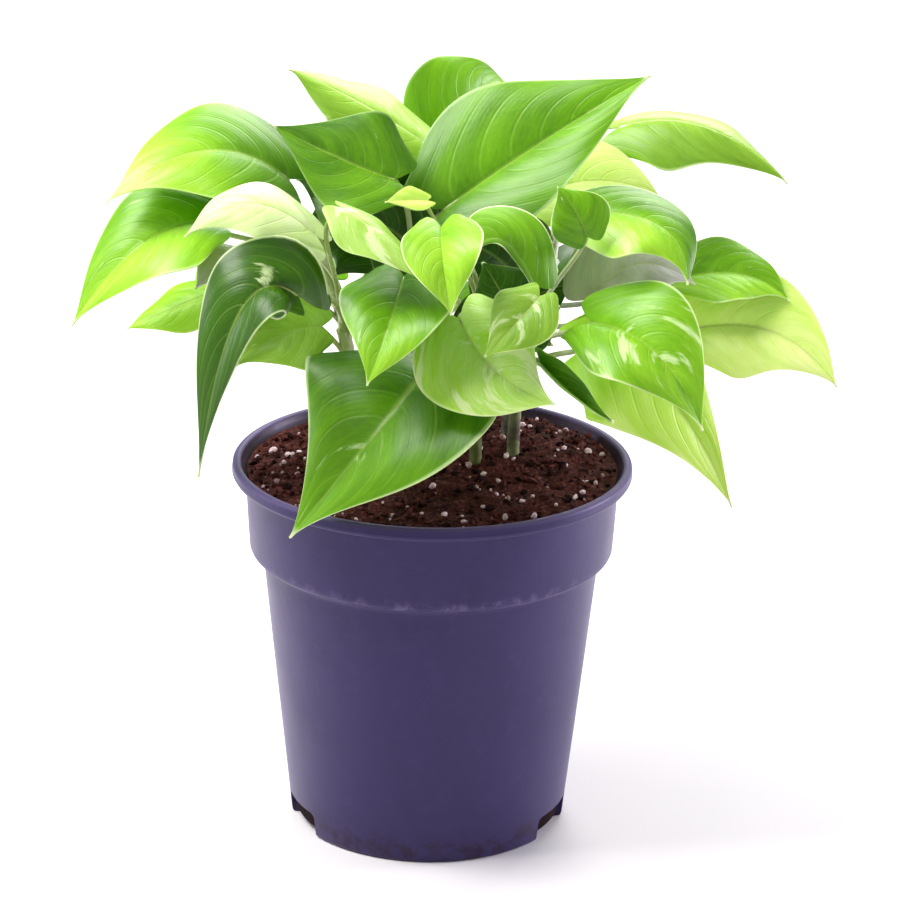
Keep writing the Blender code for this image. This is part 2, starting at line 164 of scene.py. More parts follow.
bpy.ops.object.camera_add()
camera = new_piece("camera")
outward = Vector((0.0, -math.cos(EYE_RISE), math.sin(EYE_RISE)))
camera.location = AIM + outward * EYE_DISTANCE
lean = Quaternion((0.0, 0.0, 1.0), EYE_LEAN)
camera.rotation_mode = "QUATERNION"
camera.rotation_quaternion = outward.to_track_quat("Z", "Y") @ lean
camera.data.lens = LENS
camera.data.sensor_width = SENSOR
bpy.context.scene.camera = camera
print("camera at", tuple(round(value, 3) for value in camera.location))

# %% [markdown]
# ## Light and floor
#
# The plant stands in a bright, soft, white room. A pale sky gives even light from all sides, one
# large lamp above and to the left shapes the leaves, one behind shines through the thin blades, and
# two tall lamps at the sides draw the pale edges on the dark pot. The floor is plain and pale.

# %% Light the room
LAMPS = {
    # name: (place, size, power, colour)
    "lamp_above": ((-0.75, -0.1, 1.5), 0.8, 36.0, (1.0, 0.99, 0.94)),
    "lamp_behind": ((0.25, 1.1, 1.0), 0.9, 16.0, (1.0, 1.0, 0.92)),
    "lamp_left": ((-1.2, 0.35, 0.35), 0.5, 4.0, (0.93, 0.88, 1.0)),
    "lamp_right": ((1.25, 0.3, 0.35), 0.5, 16.0, (0.95, 0.90, 1.0)),
}
SKY_COLOUR = (0.93, 0.94, 1.0)
SKY_STRENGTH = 0.46
FLOOR_SIZE = 9.0
FLOOR_COLOUR = (0.80, 0.77, 0.80)


def add_lamp(name, place, size, power, colour):
    bpy.ops.object.light_add(type="AREA", location=place)
    lamp = new_piece(name)
    lamp.data.size = size
    lamp.data.energy = power
    lamp.data.color = colour
    lamp.rotation_euler = (Vector(place) - AIM).to_track_quat("Z", "Y").to_euler()


for lamp_name, settings in LAMPS.items():
    add_lamp(lamp_name, *settings)

world = bpy.data.worlds.new("bright_room")
bpy.context.scene.world = world
world.use_nodes = True
background = world.node_tree.nodes["Background"]
background.inputs["Color"].default_value = (*SKY_COLOUR, 1.0)
background.inputs["Strength"].default_value = SKY_STRENGTH
bpy.context.scene.view_settings.view_transform = "Standard"

bpy.ops.mesh.primitive_plane_add(size=FLOOR_SIZE)
floor = new_piece("floor")
floor_material = bpy.data.materials.new("pale_floor")
floor_material.use_nodes = True
floor_shader = floor_material.node_tree.nodes["Principled BSDF"]
floor_shader.inputs["Base Color"].default_value = (*FLOOR_COLOUR, 1.0)
floor_shader.inputs["Roughness"].default_value = 0.6
floor.data.materials.append(floor_material)
floor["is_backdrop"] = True
print("lamps:", len(LAMPS))

# %% [markdown]
# ## Node helpers
#
# Each finish is a small tree of nodes. These helpers add one node with its settings and its inputs
# in a single call, so that a finish reads like a recipe.

# %% Add nodes in one call
def add_node(tree, kind, settings=None, **inputs):
    """Add a node. An input is named by its socket, with _ for a space, and is a value or a link."""
    node = tree.nodes.new(kind)
    for key, value in (settings or {}).items():
        setattr(node, key, value)
    for key, value in inputs.items():
        plug_in(tree, node.inputs[key.replace("_", " ")], value)
    return node


def plug_in(tree, socket, value):
    if isinstance(value, bpy.types.NodeSocket):
        tree.links.new(value, socket)
    else:
        socket.default_value = value


def math_node(tree, operation, *values):
    node = tree.nodes.new("ShaderNodeMath")
    node.operation = operation
    for socket, value in zip(node.inputs, values):
        plug_in(tree, socket, value)
    return node.outputs[0]


def times(tree, first, second):
    return math_node(tree, "MULTIPLY", first, second)


def scaled(tree, value, factor, added):
    return math_node(tree, "MULTIPLY_ADD", value, factor, added)


def smooth_step(tree, value, low, high):
    """0 below low, 1 above high, and a soft rise between; the other way round if low > high."""
    settings = {"interpolation_type": "SMOOTHSTEP"}
    node = add_node(tree, "ShaderNodeMapRange", settings, Value=value, From_Min=low, From_Max=high)
    return node.outputs["Result"]


def mix_colour(tree, factor, first, second, blend="MIX"):
    node = add_node(tree, "ShaderNodeMix", {"data_type": "RGBA", "blend_type": blend})
    plug_in(tree, node.inputs[0], factor)
    plug_in(tree, node.inputs[6], first)
    plug_in(tree, node.inputs[7], second)
    return node.outputs[2]


def noise_value(tree, vector, scale, detail=3.0, roughness=0.55, distortion=0.0):
    node = add_node(tree, "ShaderNodeTexNoise", Vector=vector, Scale=scale, Detail=detail,
                    Roughness=roughness, Distortion=distortion)
    return node.outputs["Fac"]


def new_group(name, inputs, outputs):
    """A node group with named float, vector or colour sockets, and its input and output nodes."""
    tree = bpy.data.node_groups.new(name, "ShaderNodeTree")
    for socket_name, kind, value in inputs:
        socket = tree.interface.new_socket(name=socket_name, in_out="INPUT", socket_type=kind)
        if value is not None:
            socket.default_value = value
    for socket_name, kind in outputs:
        tree.interface.new_socket(name=socket_name, in_out="OUTPUT", socket_type=kind)
    return tree, tree.nodes.new("NodeGroupInput").outputs, tree.nodes.new("NodeGroupOutput").inputs


def place_group(tree, group, **inputs):
    node = tree.nodes.new("ShaderNodeGroup")
    node.node_tree = group
    for key, value in inputs.items():
        plug_in(tree, node.inputs[key.replace("_", " ")], value)
    return node.outputs


def new_material(name, **constants):
    """A material with a Principled shader whose plain numbers are set on its own sockets."""
    material = bpy.data.materials.new(name)
    material.use_nodes = True
    shader = material.node_tree.nodes["Principled BSDF"]
    for key, value in constants.items():
        shader.inputs[key.replace("_", " ")].default_value = value
    return material, material.node_tree, shader.inputs


def object_place(tree):
    return add_node(tree, "ShaderNodeTexCoord").outputs["Object"]


def height_of(tree, place):
    return add_node(tree, "ShaderNodeSeparateXYZ", Vector=place).outputs["Z"]


def point_number(tree, name):
    """A number that was written on the points."""
    return add_node(tree, "ShaderNodeAttribute", {"attribute_name": name}).outputs["Fac"]


def grain_height(tree, place, scale):
    return place_group(tree, GRAIN, Vector=place, Scale=scale)["Height"]


def coat(tree, shader, colour, rough, height, strength, distance):
    """Plug in a colour, a roughness and a relief: height, strength and distance."""
    bump = add_node(tree, "ShaderNodeBump", Height=height, Strength=strength, Distance=distance)
    for name, value in (("Base Color", colour), ("Roughness", rough),
                        ("Normal", bump.outputs["Normal"])):
        plug_in(tree, shader[name], value)


FLOAT, VECTOR, COLOUR = "NodeSocketFloat", "NodeSocketVector", "NodeSocketColor"
print("node helpers ready")

# %% [markdown]
# ## Shared effects
#
# Two effects are used by more than one finish, so each is a node group, built once. Mottle varies a
# colour softly in two sizes, as no grown or moulded surface is one flat colour. Fine grain gives
# the small height of a surface under the finger.

# %% Mottle and grain groups
def make_mottle():
    """Mix three colours by a broad and a fine noise."""
    tree, given, result = new_group(
        "mottle",
        [("Vector", VECTOR, None), ("Scale", FLOAT, 20.0), ("Main", COLOUR, None),
         ("Dark", COLOUR, None), ("Light", COLOUR, None), ("Amount", FLOAT, 1.0)],
        [("Colour", COLOUR), ("Mask", FLOAT)])
    broad = noise_value(tree, given["Vector"], given["Scale"], 2.0)
    fine_scale = times(tree, given["Scale"], 5.3)
    fine = noise_value(tree, given["Vector"], fine_scale, 3.0, 0.6)
    dark = smooth_step(tree, broad, 0.52, 0.30)
    light = smooth_step(tree, fine, 0.50, 0.72)
    first = mix_colour(tree, times(tree, dark, given["Amount"]), given["Main"], given["Dark"])
    second = mix_colour(tree, times(tree, light, given["Amount"]), first, given["Light"])
    tree.links.new(second, result["Colour"])
    tree.links.new(light, result["Mask"])
    return tree


def make_grain():
    """Height of a fine surface grain from two noises."""
    tree, given, result = new_group(
        "fine_grain", [("Vector", VECTOR, None), ("Scale", FLOAT, 900.0)], [("Height", FLOAT)])
    small = noise_value(tree, given["Vector"], given["Scale"], 2.0)
    large = noise_value(tree, given["Vector"], times(tree, given["Scale"], 0.22), 2.0)
    tree.links.new(scaled(tree, large, 0.6, small), result["Height"])
    return tree


MOTTLE = make_mottle()
GRAIN = make_grain()
print("groups:", [group.name for group in bpy.data.node_groups])

# %% [markdown]
# ## The pot
#
# The real pot is blown or moulded from one thin sheet of dark plastic: a tapered body, a shoulder
# where the wider collar begins, and a lip rolled outwards so that the edge is stiff. A lathe shape
# like this could be spun from a profile. Here it is drawn up from a ring instead, one extrusion
# for each turn of the wall, as that keeps every ring at a size and height that can be read.

# %% The sizes of the pot
POT_HEIGHT = 142.0
RIM_RADIUS = 75.0
BASE_RADIUS = 52.2
POT_SIDES = 160
FOOT_RING, FOOT_RECESS = 1.2, 0.9
MIDDLE_INSET = 30.0
SHARPEST_ANGLE, SHARPEST_LEAF_ANGLE = math.radians(40), math.radians(50)

# (radius, height) up the outside, over the lip, down the inside and across the floor
POT_RINGS = [
    (46.5, 0.0), (50.7, 0.0), (51.5, 0.25), (52.0, 0.8), (52.25, 1.7), (52.7, 6.0), (54.6, 24.0),
    (57.0, 46.0), (59.4, 68.0), (61.7, 90.0), (62.9, 101.5), (63.15, 104.0), (63.4, 105.0),
    (63.95, 105.7), (65.4, 106.4), (67.0, 107.3), (67.9, 108.1), (68.28, 109.0), (68.4, 110.6),
    (68.9, 118.0), (69.4, 127.0), (69.75, 134.8), (69.95, 136.2), (70.5, 136.75), (72.2, 136.9),
    (73.7, 137.0), (74.5, 137.35), (74.95, 138.1), (75.0, 139.0), (74.8, 139.55), (74.85, 140.2),
    (74.75, 141.0), (74.3, 141.65), (73.5, 142.0), (72.6, 142.0), (71.9, 141.75), (71.5, 141.2),
    (71.35, 140.4), (70.7, 139.0), (69.3, 137.0), (68.3, 135.6), (67.6, 124.0), (66.8, 108.5),
    (61.9, 105.5), (59.9, 90.0), (56.4, 56.0), (52.6, 20.0), (51.0, 5.0), (50.2, 3.2), (48.8, 2.4),
]


def draw_up_rings(rings, sides):
    """A ring of edges, extruded and resized to each (radius, height) in turn, in millimetres."""
    radius, height = rings[0]
    bpy.ops.mesh.primitive_circle_add(vertices=sides, radius=radius * MM,
                                      location=(0.0, 0.0, height * MM))
    bpy.ops.object.transform_apply(location=True)
    bpy.ops.object.mode_set(mode="EDIT")
    bpy.ops.mesh.select_all(action="SELECT")
    for next_radius, next_height in rings[1:]:
        bpy.ops.mesh.extrude_edges_move()
        bpy.ops.transform.translate(value=(0.0, 0.0, (next_height - height) * MM))
        bpy.ops.transform.resize(value=(next_radius / radius, next_radius / radius, 1.0))
        radius, height = next_radius, next_height


def select_points(obj, choose):
    """In edit mode, select only the points that the choice accepts."""
    bpy.ops.mesh.select_mode(type="VERT")
    bm = bmesh.from_edit_mesh(obj.data)
    for vertex in bm.verts:
        vertex.select_set(False)
    for vertex in bm.verts:
        if choose(vertex.co):
            vertex.select_set(True)
    bm.select_flush_mode()
    bmesh.update_edit_mesh(obj.data)


def divide_end():
    """Divide the selected end face from its middle, inside a wide flat border."""
    bpy.ops.mesh.inset(thickness=MIDDLE_INSET * MM)
    bpy.ops.mesh.poke()


# %% Draw up the wall, the lip and the floor
let_go()
draw_up_rings(POT_RINGS, POT_SIDES)
pot = new_piece("nursery_pot")
bpy.ops.mesh.edge_face_add()
divide_end()


def on_first_ring(place):
    return place.z < 0.1 * MM and abs(place.xy.length / MM - POT_RINGS[0][0]) < 0.2


select_points(pot, on_first_ring)
bpy.ops.mesh.edge_face_add()
bpy.ops.mesh.inset(thickness=FOOT_RING * MM)
bpy.ops.transform.translate(value=(0.0, 0.0, FOOT_RECESS * MM))
divide_end()
end_edit()
print("pot:", len(pot.data.polygons), "faces")

# %% [markdown]
# The foot has three drain slots. Each real slot is a notch across the corner between wall and
# floor, open below, so that water runs out when the pot stands on a tray. It is cut
# with a block whose corners are first rounded by a bevel, as a mould has no sharp corners.

# %% Cut the drain slots
DRAIN_BEARINGS = (-157.0, -23.0, 90.0)
DRAIN_WIDTH = 25.0
DRAIN_TOP = 9.5
DRAIN_CUT_DEPTH = 4.5
DRAIN_CORNER = 2.4
WELD = 0.02


def cut_slot(obj, bearing):
    """Cut a rounded block into the foot from outside."""
    turn = math.radians(bearing)
    place = (BASE_RADIUS * MM * math.cos(turn), BASE_RADIUS * MM * math.sin(turn), 0.0)
    let_go()
    bpy.ops.mesh.primitive_cube_add(
        size=1.0, location=place, rotation=(0.0, 0.0, turn),
        scale=(2 * DRAIN_CUT_DEPTH * MM, DRAIN_WIDTH * MM, 2 * DRAIN_TOP * MM))
    block = new_piece("slot_cutter")
    settle(block)
    apply_modifier(block, "BEVEL", width=DRAIN_CORNER * MM, segments=4)
    apply_modifier(obj, "BOOLEAN", operation="DIFFERENCE", object=block, solver="EXACT")
    bpy.data.objects.remove(block)


for bearing in DRAIN_BEARINGS:
    cut_slot(pot, bearing)
edit_all(pot)
bpy.ops.mesh.remove_doubles(threshold=WELD * MM)
end_edit()
bpy.ops.object.shade_smooth_by_angle(angle=SHARPEST_ANGLE)
hand_in(pot, "pot_plastic", "pot")
print("drain slots:", len(DRAIN_BEARINGS), "pot size:", [round(v / MM, 1) for v in pot.dimensions])

# %% [markdown]
# The plastic is a dark slate with a purple cast. Light skims over it, so its edges look lavender:
# a little sheen does that. Its colour is mottled softly, dust lies on the shoulder with a painted
# highlight, a painted highlight and dust run round the lip, soil has splashed the foot, the inner
# wall above the soil is painted dark as painted shade, and very fine rings from the mould run round
# the wall.

# %% Finish the pot
POT_COLOUR = (0.031, 0.024, 0.084, 1.0)
POT_DEEP = (0.023, 0.017, 0.062, 1.0)
POT_WORN = (0.038, 0.030, 0.098, 1.0)
# Lavender for dust and for the painted highlight on the shoulder and the lip
POT_DUST_AND_HIGHLIGHT = (0.17, 0.13, 0.28, 1.0)
# For soil splashed on the foot, and for painted shade on the inner wall
POT_SOIL_AND_SHADE = (0.020, 0.006, 0.007, 1.0)
RING_SPACING = 2.9


def finish_pot():
    material, tree, shader = new_material(
        "slate_plastic", Specular_IOR_Level=0.34, Specular_Tint=(0.70, 0.58, 1.0, 1.0),
        Sheen_Weight=0.12, Sheen_Roughness=0.35, Sheen_Tint=(0.62, 0.50, 1.0, 1.0),
        Coat_Weight=0.06, Coat_Roughness=0.22)
    place = object_place(tree)
    axes = add_node(tree, "ShaderNodeSeparateXYZ", Vector=place).outputs
    plastic = place_group(tree, MOTTLE, Vector=place, Scale=26.0, Main=POT_COLOUR, Dark=POT_DEEP,
                          Light=POT_WORN, Amount=0.5)
    # Dust and a painted highlight on the ledge under the collar, and on the crown of the lip
    ledge = times(tree, smooth_step(tree, axes["Z"], 0.1045, 0.1072),
                  smooth_step(tree, axes["Z"], 0.1125, 0.1084))
    speckle = smooth_step(tree, noise_value(tree, place, 190.0, 5.0, 0.7), 0.44, 0.66)
    lip_dust_and_highlight = times(tree, smooth_step(tree, axes["Z"], 0.1403, 0.1417), 0.8)
    dust_and_highlight = times(tree, math_node(tree, "MAXIMUM", times(tree, ledge, speckle), lip_dust_and_highlight), 0.5)
    dusty_and_highlit = mix_colour(tree, dust_and_highlight, plastic["Colour"], POT_DUST_AND_HIGHLIGHT)
    # Soil splashed on the foot
    splash = times(tree, smooth_step(tree, axes["Z"], 0.016, 0.001),
                   smooth_step(tree, noise_value(tree, place, 120.0, 4.0, 0.65), 0.42, 0.64))
    soiled_and_shaded = mix_colour(tree, times(tree, splash, 0.85), dusty_and_highlit, POT_SOIL_AND_SHADE)
    # Painted shade on the inner wall above the soil, ragged like a soil stain
    level = add_node(tree, "ShaderNodeCombineXYZ", X=axes["X"], Y=axes["Y"]).outputs["Vector"]
    reach = add_node(tree, "ShaderNodeVectorMath", {"operation": "LENGTH"})
    plug_in(tree, reach.inputs[0], level)
    inside = times(tree, smooth_step(tree, reach.outputs["Value"], 0.0717, 0.0713),
                   smooth_step(tree, axes["Z"], 0.1370, 0.1376))
    ragged = smooth_step(tree, noise_value(tree, place, 160.0, 4.0, 0.7), 0.26, 0.44)
    soiled_and_shaded = mix_colour(tree, times(tree, inside, ragged), soiled_and_shaded, POT_SOIL_AND_SHADE)
    rough = scaled(tree, noise_value(tree, place, 60.0, 4.0), 0.16, scaled(tree, dust_and_highlight, 0.35, 0.34))
    rings = math_node(tree, "SINE", times(tree, axes["Z"], 2 * math.pi / (RING_SPACING * MM)))
    height = scaled(tree, rings, 0.08, grain_height(tree, place, 1400.0))
    coat(tree, shader, soiled_and_shaded, rough, height, 0.12, 0.0004)
    return material


pot.data.materials.clear()
pot.data.materials.append(finish_pot())
print("pot finish:", pot.data.materials[0].name)

# %% [markdown]
# ## The soil
#
# Real potting soil is peat and bark crumbs, with white grains of perlite. It is heaped a little
# where the stems leave it and sinks to a ring just under the lip. The body of the soil is drawn
# up like the pot, then its top is pushed up and down by noise; loose crumbs and grains are
# scattered over it afterwards.

# %% The sizes of the soil
SOIL_LEVEL = POT_HEIGHT - 3.6
SOIL_EDGE = 69.4
MOUND_AT = (26.0, 8.0)
MOUND_HEIGHT, MOUND_SPREAD = 8.0, 34.0
SOIL_RIPPLE, SOIL_RIPPLE_LENGTH = 0.8, 26.0
LUMP_RISE, LUMP_LENGTH = 1.5, 9.0
CRUMB_RISE, CRUMB_LENGTH, CRUMB_SINK = 1.3, 3.2, 0.5
WALL_FADE, WALL_ROUGHNESS = 5.0, 0.25
SHARPEST_SOIL_ANGLE = math.radians(60)
SOIL_SIDES, SOIL_TOP_RINGS = 180, 56
SOIL_RINGS = [(50.4, 2.7), (52.3, 20.0), (56.1, 56.0), (61.6, 105.5), (66.5, 108.5), (67.3, 124.0),
              (68.0, 135.6)]


def soil_height(x, y):
    """Height of the soil above its level at the wall, in millimetres."""
    away = math.hypot(x - MOUND_AT[0], y - MOUND_AT[1])
    mound = MOUND_HEIGHT * math.exp(-((away / MOUND_SPREAD) ** 2))
    turn = 2 * math.pi / SOIL_RIPPLE_LENGTH
    return mound + SOIL_RIPPLE * math.sin(turn * x + 1.0) * math.sin(turn * y)


def crumbly_height(x, y):
    """The same height with lumps and crumbs on it, which fade towards the wall."""
    lumps = noise.noise(Vector((x, y, 3.0)) / LUMP_LENGTH) * LUMP_RISE
    crumbs = noise.turbulence(Vector((x, y, 7.0)) / CRUMB_LENGTH, 3, True) * CRUMB_RISE - CRUMB_SINK
    fade = min(1.0, max(0.0, (SOIL_EDGE - math.hypot(x, y)) / WALL_FADE))
    rough = WALL_ROUGHNESS + (1.0 - WALL_ROUGHNESS) * fade
    return (soil_height(x, y) + lumps + crumbs) * rough


# %% Draw up the soil and rough its top
let_go()
top_rings = [(SOIL_EDGE * ring / SOIL_TOP_RINGS, SOIL_LEVEL)
             for ring in range(SOIL_TOP_RINGS, 0, -1)]
draw_up_rings(SOIL_RINGS + top_rings, SOIL_SIDES)
soil = new_piece("potting_soil")
bpy.ops.mesh.edge_face_add()
bpy.ops.mesh.poke()
select_points(soil, lambda place: place.z < 3.0 * MM)
bpy.ops.mesh.edge_face_add()
divide_end()
end_edit()
for vertex in soil.data.vertices:
    if vertex.co.z > (SOIL_LEVEL - 0.5) * MM:
        x, y = vertex.co.x / MM, vertex.co.y / MM
        vertex.co.z = (SOIL_LEVEL + crumbly_height(x, y)) * MM
bpy.ops.object.shade_smooth_by_angle(angle=SHARPEST_SOIL_ANGLE)
hand_in(soil, "potting_soil", "soil")
soil_top = max(vertex.co.z for vertex in soil.data.vertices)
print("soil:", len(soil.data.polygons), "faces, top at", round(soil_top / MM, 1))

# %% [markdown]
# The crumbs are lumps of one kind: a ball with few faces, pressed and turned at random. Three balls
# are modelled for crumbs and three for grains. Each is copied many times into one mesh, which keeps
# the scene light. The random numbers are seeded, so that the lesson gives the same soil each time.

# %% Scatter crumbs and grains
CRUMBS, GRAINS = 1900, 170
CRUMB_SIZES, GRAIN_SIZES = (0.45, 1.9), (0.6, 1.6)
LUMP_PRESS = ((0.7, 1.2), (0.7, 1.2), (0.55, 0.9))


def lump_shape(detail, roughness, seed):
    """The points and faces of a small lump: an icosphere, jittered."""
    let_go()
    bpy.ops.mesh.primitive_ico_sphere_add(subdivisions=detail, radius=1.0)
    lump = bpy.context.object
    chance = random.Random(seed)
    for vertex in lump.data.vertices:
        vertex.co *= 1.0 + chance.uniform(-roughness, roughness)
    points = [vertex.co.copy() for vertex in lump.data.vertices]
    faces = [tuple(face.vertices) for face in lump.data.polygons]
    bpy.data.objects.remove(lump)
    return points, faces


def scatter(name, shapes, count, sizes, seed, rise, edge):
    """Copy lumps over the soil into one mesh. Each is turned, pressed and raised a little."""
    chance = random.Random(seed)
    points, faces, shades = [], [], []
    for _ in range(count):
        shape_points, shape_faces = chance.choice(shapes)
        reach = math.sqrt(chance.random()) * (SOIL_EDGE - edge)
        bearing = chance.uniform(0.0, 2 * math.pi)
        x, y = reach * math.cos(bearing), reach * math.sin(bearing)
        size = sizes[0] + (sizes[1] - sizes[0]) * chance.random() ** 2
        middle = Vector((x, y, SOIL_LEVEL + crumbly_height(x, y) + size * rise)) * MM
        axis = Vector([chance.gauss(0, 1) for _ in range(3)]).normalized()
        turn = Quaternion(axis, chance.uniform(0.0, math.pi))
        press = Vector([chance.uniform(*span) for span in LUMP_PRESS])
        start = len(points)
        for point in shape_points:
            points.append(middle + turn @ (point * press) * size * MM)
        faces.extend(tuple(start + corner for corner in face) for face in shape_faces)
        shades.extend([chance.random()] * len(shape_points))
    mesh = bpy.data.meshes.new(name)
    mesh.from_pydata(points, [], faces)
    write_numbers(mesh, "shade", shades)
    return link_new(name, mesh)


crumb_shapes = [lump_shape(1, 0.30, seed) for seed in (3, 4, 5)]
grain_shapes = [lump_shape(2, 0.14, seed) for seed in (6, 7, 8)]
crumbs = scatter("soil_crumbs", crumb_shapes, CRUMBS, CRUMB_SIZES, 11, 0.1, 1.5)
grains = scatter("perlite_grains", grain_shapes, GRAINS, GRAIN_SIZES, 12, 0.3, 2.0)
hand_in(crumbs, "potting_soil")
hand_in(grains, "potting_soil")
print("crumbs:", len(crumbs.data.polygons), "faces; grains:", len(grains.data.polygons), "faces")

# %% [markdown]
# Damp peat is a deep red-brown, mottled darker and lighter, and the body of the soil deep in the
# pot is painted near black as painted shade. Each crumb has its own shade, kept as a number on its
# points. Perlite is a puffed glass: a matt, slightly pink white, stained by the soil.

# %% Finish the soil and the grains
SOIL_COLOUR = (0.055, 0.012, 0.011, 1.0)
SOIL_DARK = (0.010, 0.002, 0.003, 1.0)
SOIL_LIGHT = (0.190, 0.060, 0.055, 1.0)
PERLITE_COLOUR = (0.86, 0.62, 0.74, 1.0)
PERLITE_STAINED = (0.36, 0.20, 0.21, 1.0)


def finish_soil(name, by_crumb):
    material, tree, shader = new_material(name, Specular_IOR_Level=0.12)
    place = object_place(tree)
    peat = place_group(tree, MOTTLE, Vector=place, Scale=130.0, Main=SOIL_COLOUR, Dark=SOIL_DARK,
                       Light=SOIL_LIGHT, Amount=0.85)["Colour"]
    if by_crumb:
        shade = point_number(tree, "shade")
        darker = mix_colour(tree, smooth_step(tree, shade, 0.55, 0.0), peat, SOIL_DARK)
        lighter = times(tree, smooth_step(tree, shade, 0.75, 1.0), 0.6)
        peat = mix_colour(tree, lighter, darker, SOIL_LIGHT)
    # Painted shade: the soil's body below the top, seen through the drain slots, is darkened
    peat = mix_colour(tree, smooth_step(tree, height_of(tree, place), 0.125, 0.100), peat,
                      SOIL_DARK)
    damp = smooth_step(tree, noise_value(tree, place, 70.0, 3.0), -0.9, 0.75)
    coat(tree, shader, peat, damp, grain_height(tree, place, 1100.0), 0.7, 0.0007)
    return material


def finish_grains():
    material, tree, shader = new_material("perlite", Specular_IOR_Level=0.3)
    place = object_place(tree)
    shade = point_number(tree, "shade")
    stain = times(tree, noise_value(tree, place, 600.0, 3.0), shade)
    stained = smooth_step(tree, stain, 0.22, 0.55)
    white = mix_colour(tree, stained, PERLITE_COLOUR, PERLITE_STAINED)
    coat(tree, shader, white, 0.8, grain_height(tree, place, 2200.0), 0.5, 0.0004)
    return material


soil.data.materials.append(finish_soil("damp_soil", False))
crumbs.data.materials.append(finish_soil("loose_crumbs", True))
grains.data.materials.append(finish_grains())
print("soil finishes:", [obj.data.materials[0].name for obj in (soil, crumbs, grains)])

# %% [markdown]
# ## Where each stem and leaf grows
#
# The first two tables also place the plain model's stems and leaves, so the finished ones grow in
# the same places. The third adds small inner blades. Lengths are in millimetres from the middle
# of the rim plane. A leaf is a sheet hung on a curved midrib: it starts at its seat, bends
# towards a point, and ends at its tip.
#
# The leaves range from a deep green to a lime that is almost white, and one blade may hold both. So
# each leaf has four shades, from 0 for deep to 1 for palest: at the stalk and at the tip, each for
# its two halves. These shades also carry painted light and shade: halves and blades in the light
# are painted paler, backlit ones nearly white, and those in shadow darker. Two more numbers say
# how much it is streaked with cream, and how pale its margin is.

# %% The tables of the plant
def beyond_rim(bearing, beyond, height):
    """A point at a bearing in degrees, that far beyond the rim."""
    reach = RIM_RADIUS + beyond
    turn = math.radians(bearing)
    return (reach * math.cos(turn), reach * math.sin(turn), height)


# Each stem: foot on the soil (x, y) and growing tip (x, y, height above the rim), in millimetres
# from the middle of the rim plane.
STEMS = {
    "left_front": {"foot": (-28, -6), "top": (-34, -18, 56)},
    "left_back": {"foot": (-28, 12), "top": (-42, 0, 78)},
    "middle": {"foot": (-6, 4), "top": (-12, -2, 84)},
    "back": {"foot": (-4, 28), "top": (4, 36, 82)},
    "front": {"foot": (16, -8), "top": (17, -14, 62)},
    "right": {"foot": (30, -2), "top": (33, -22, 46)},
    "right_back": {"foot": (28, 22), "top": (44, 8, 76)},
}
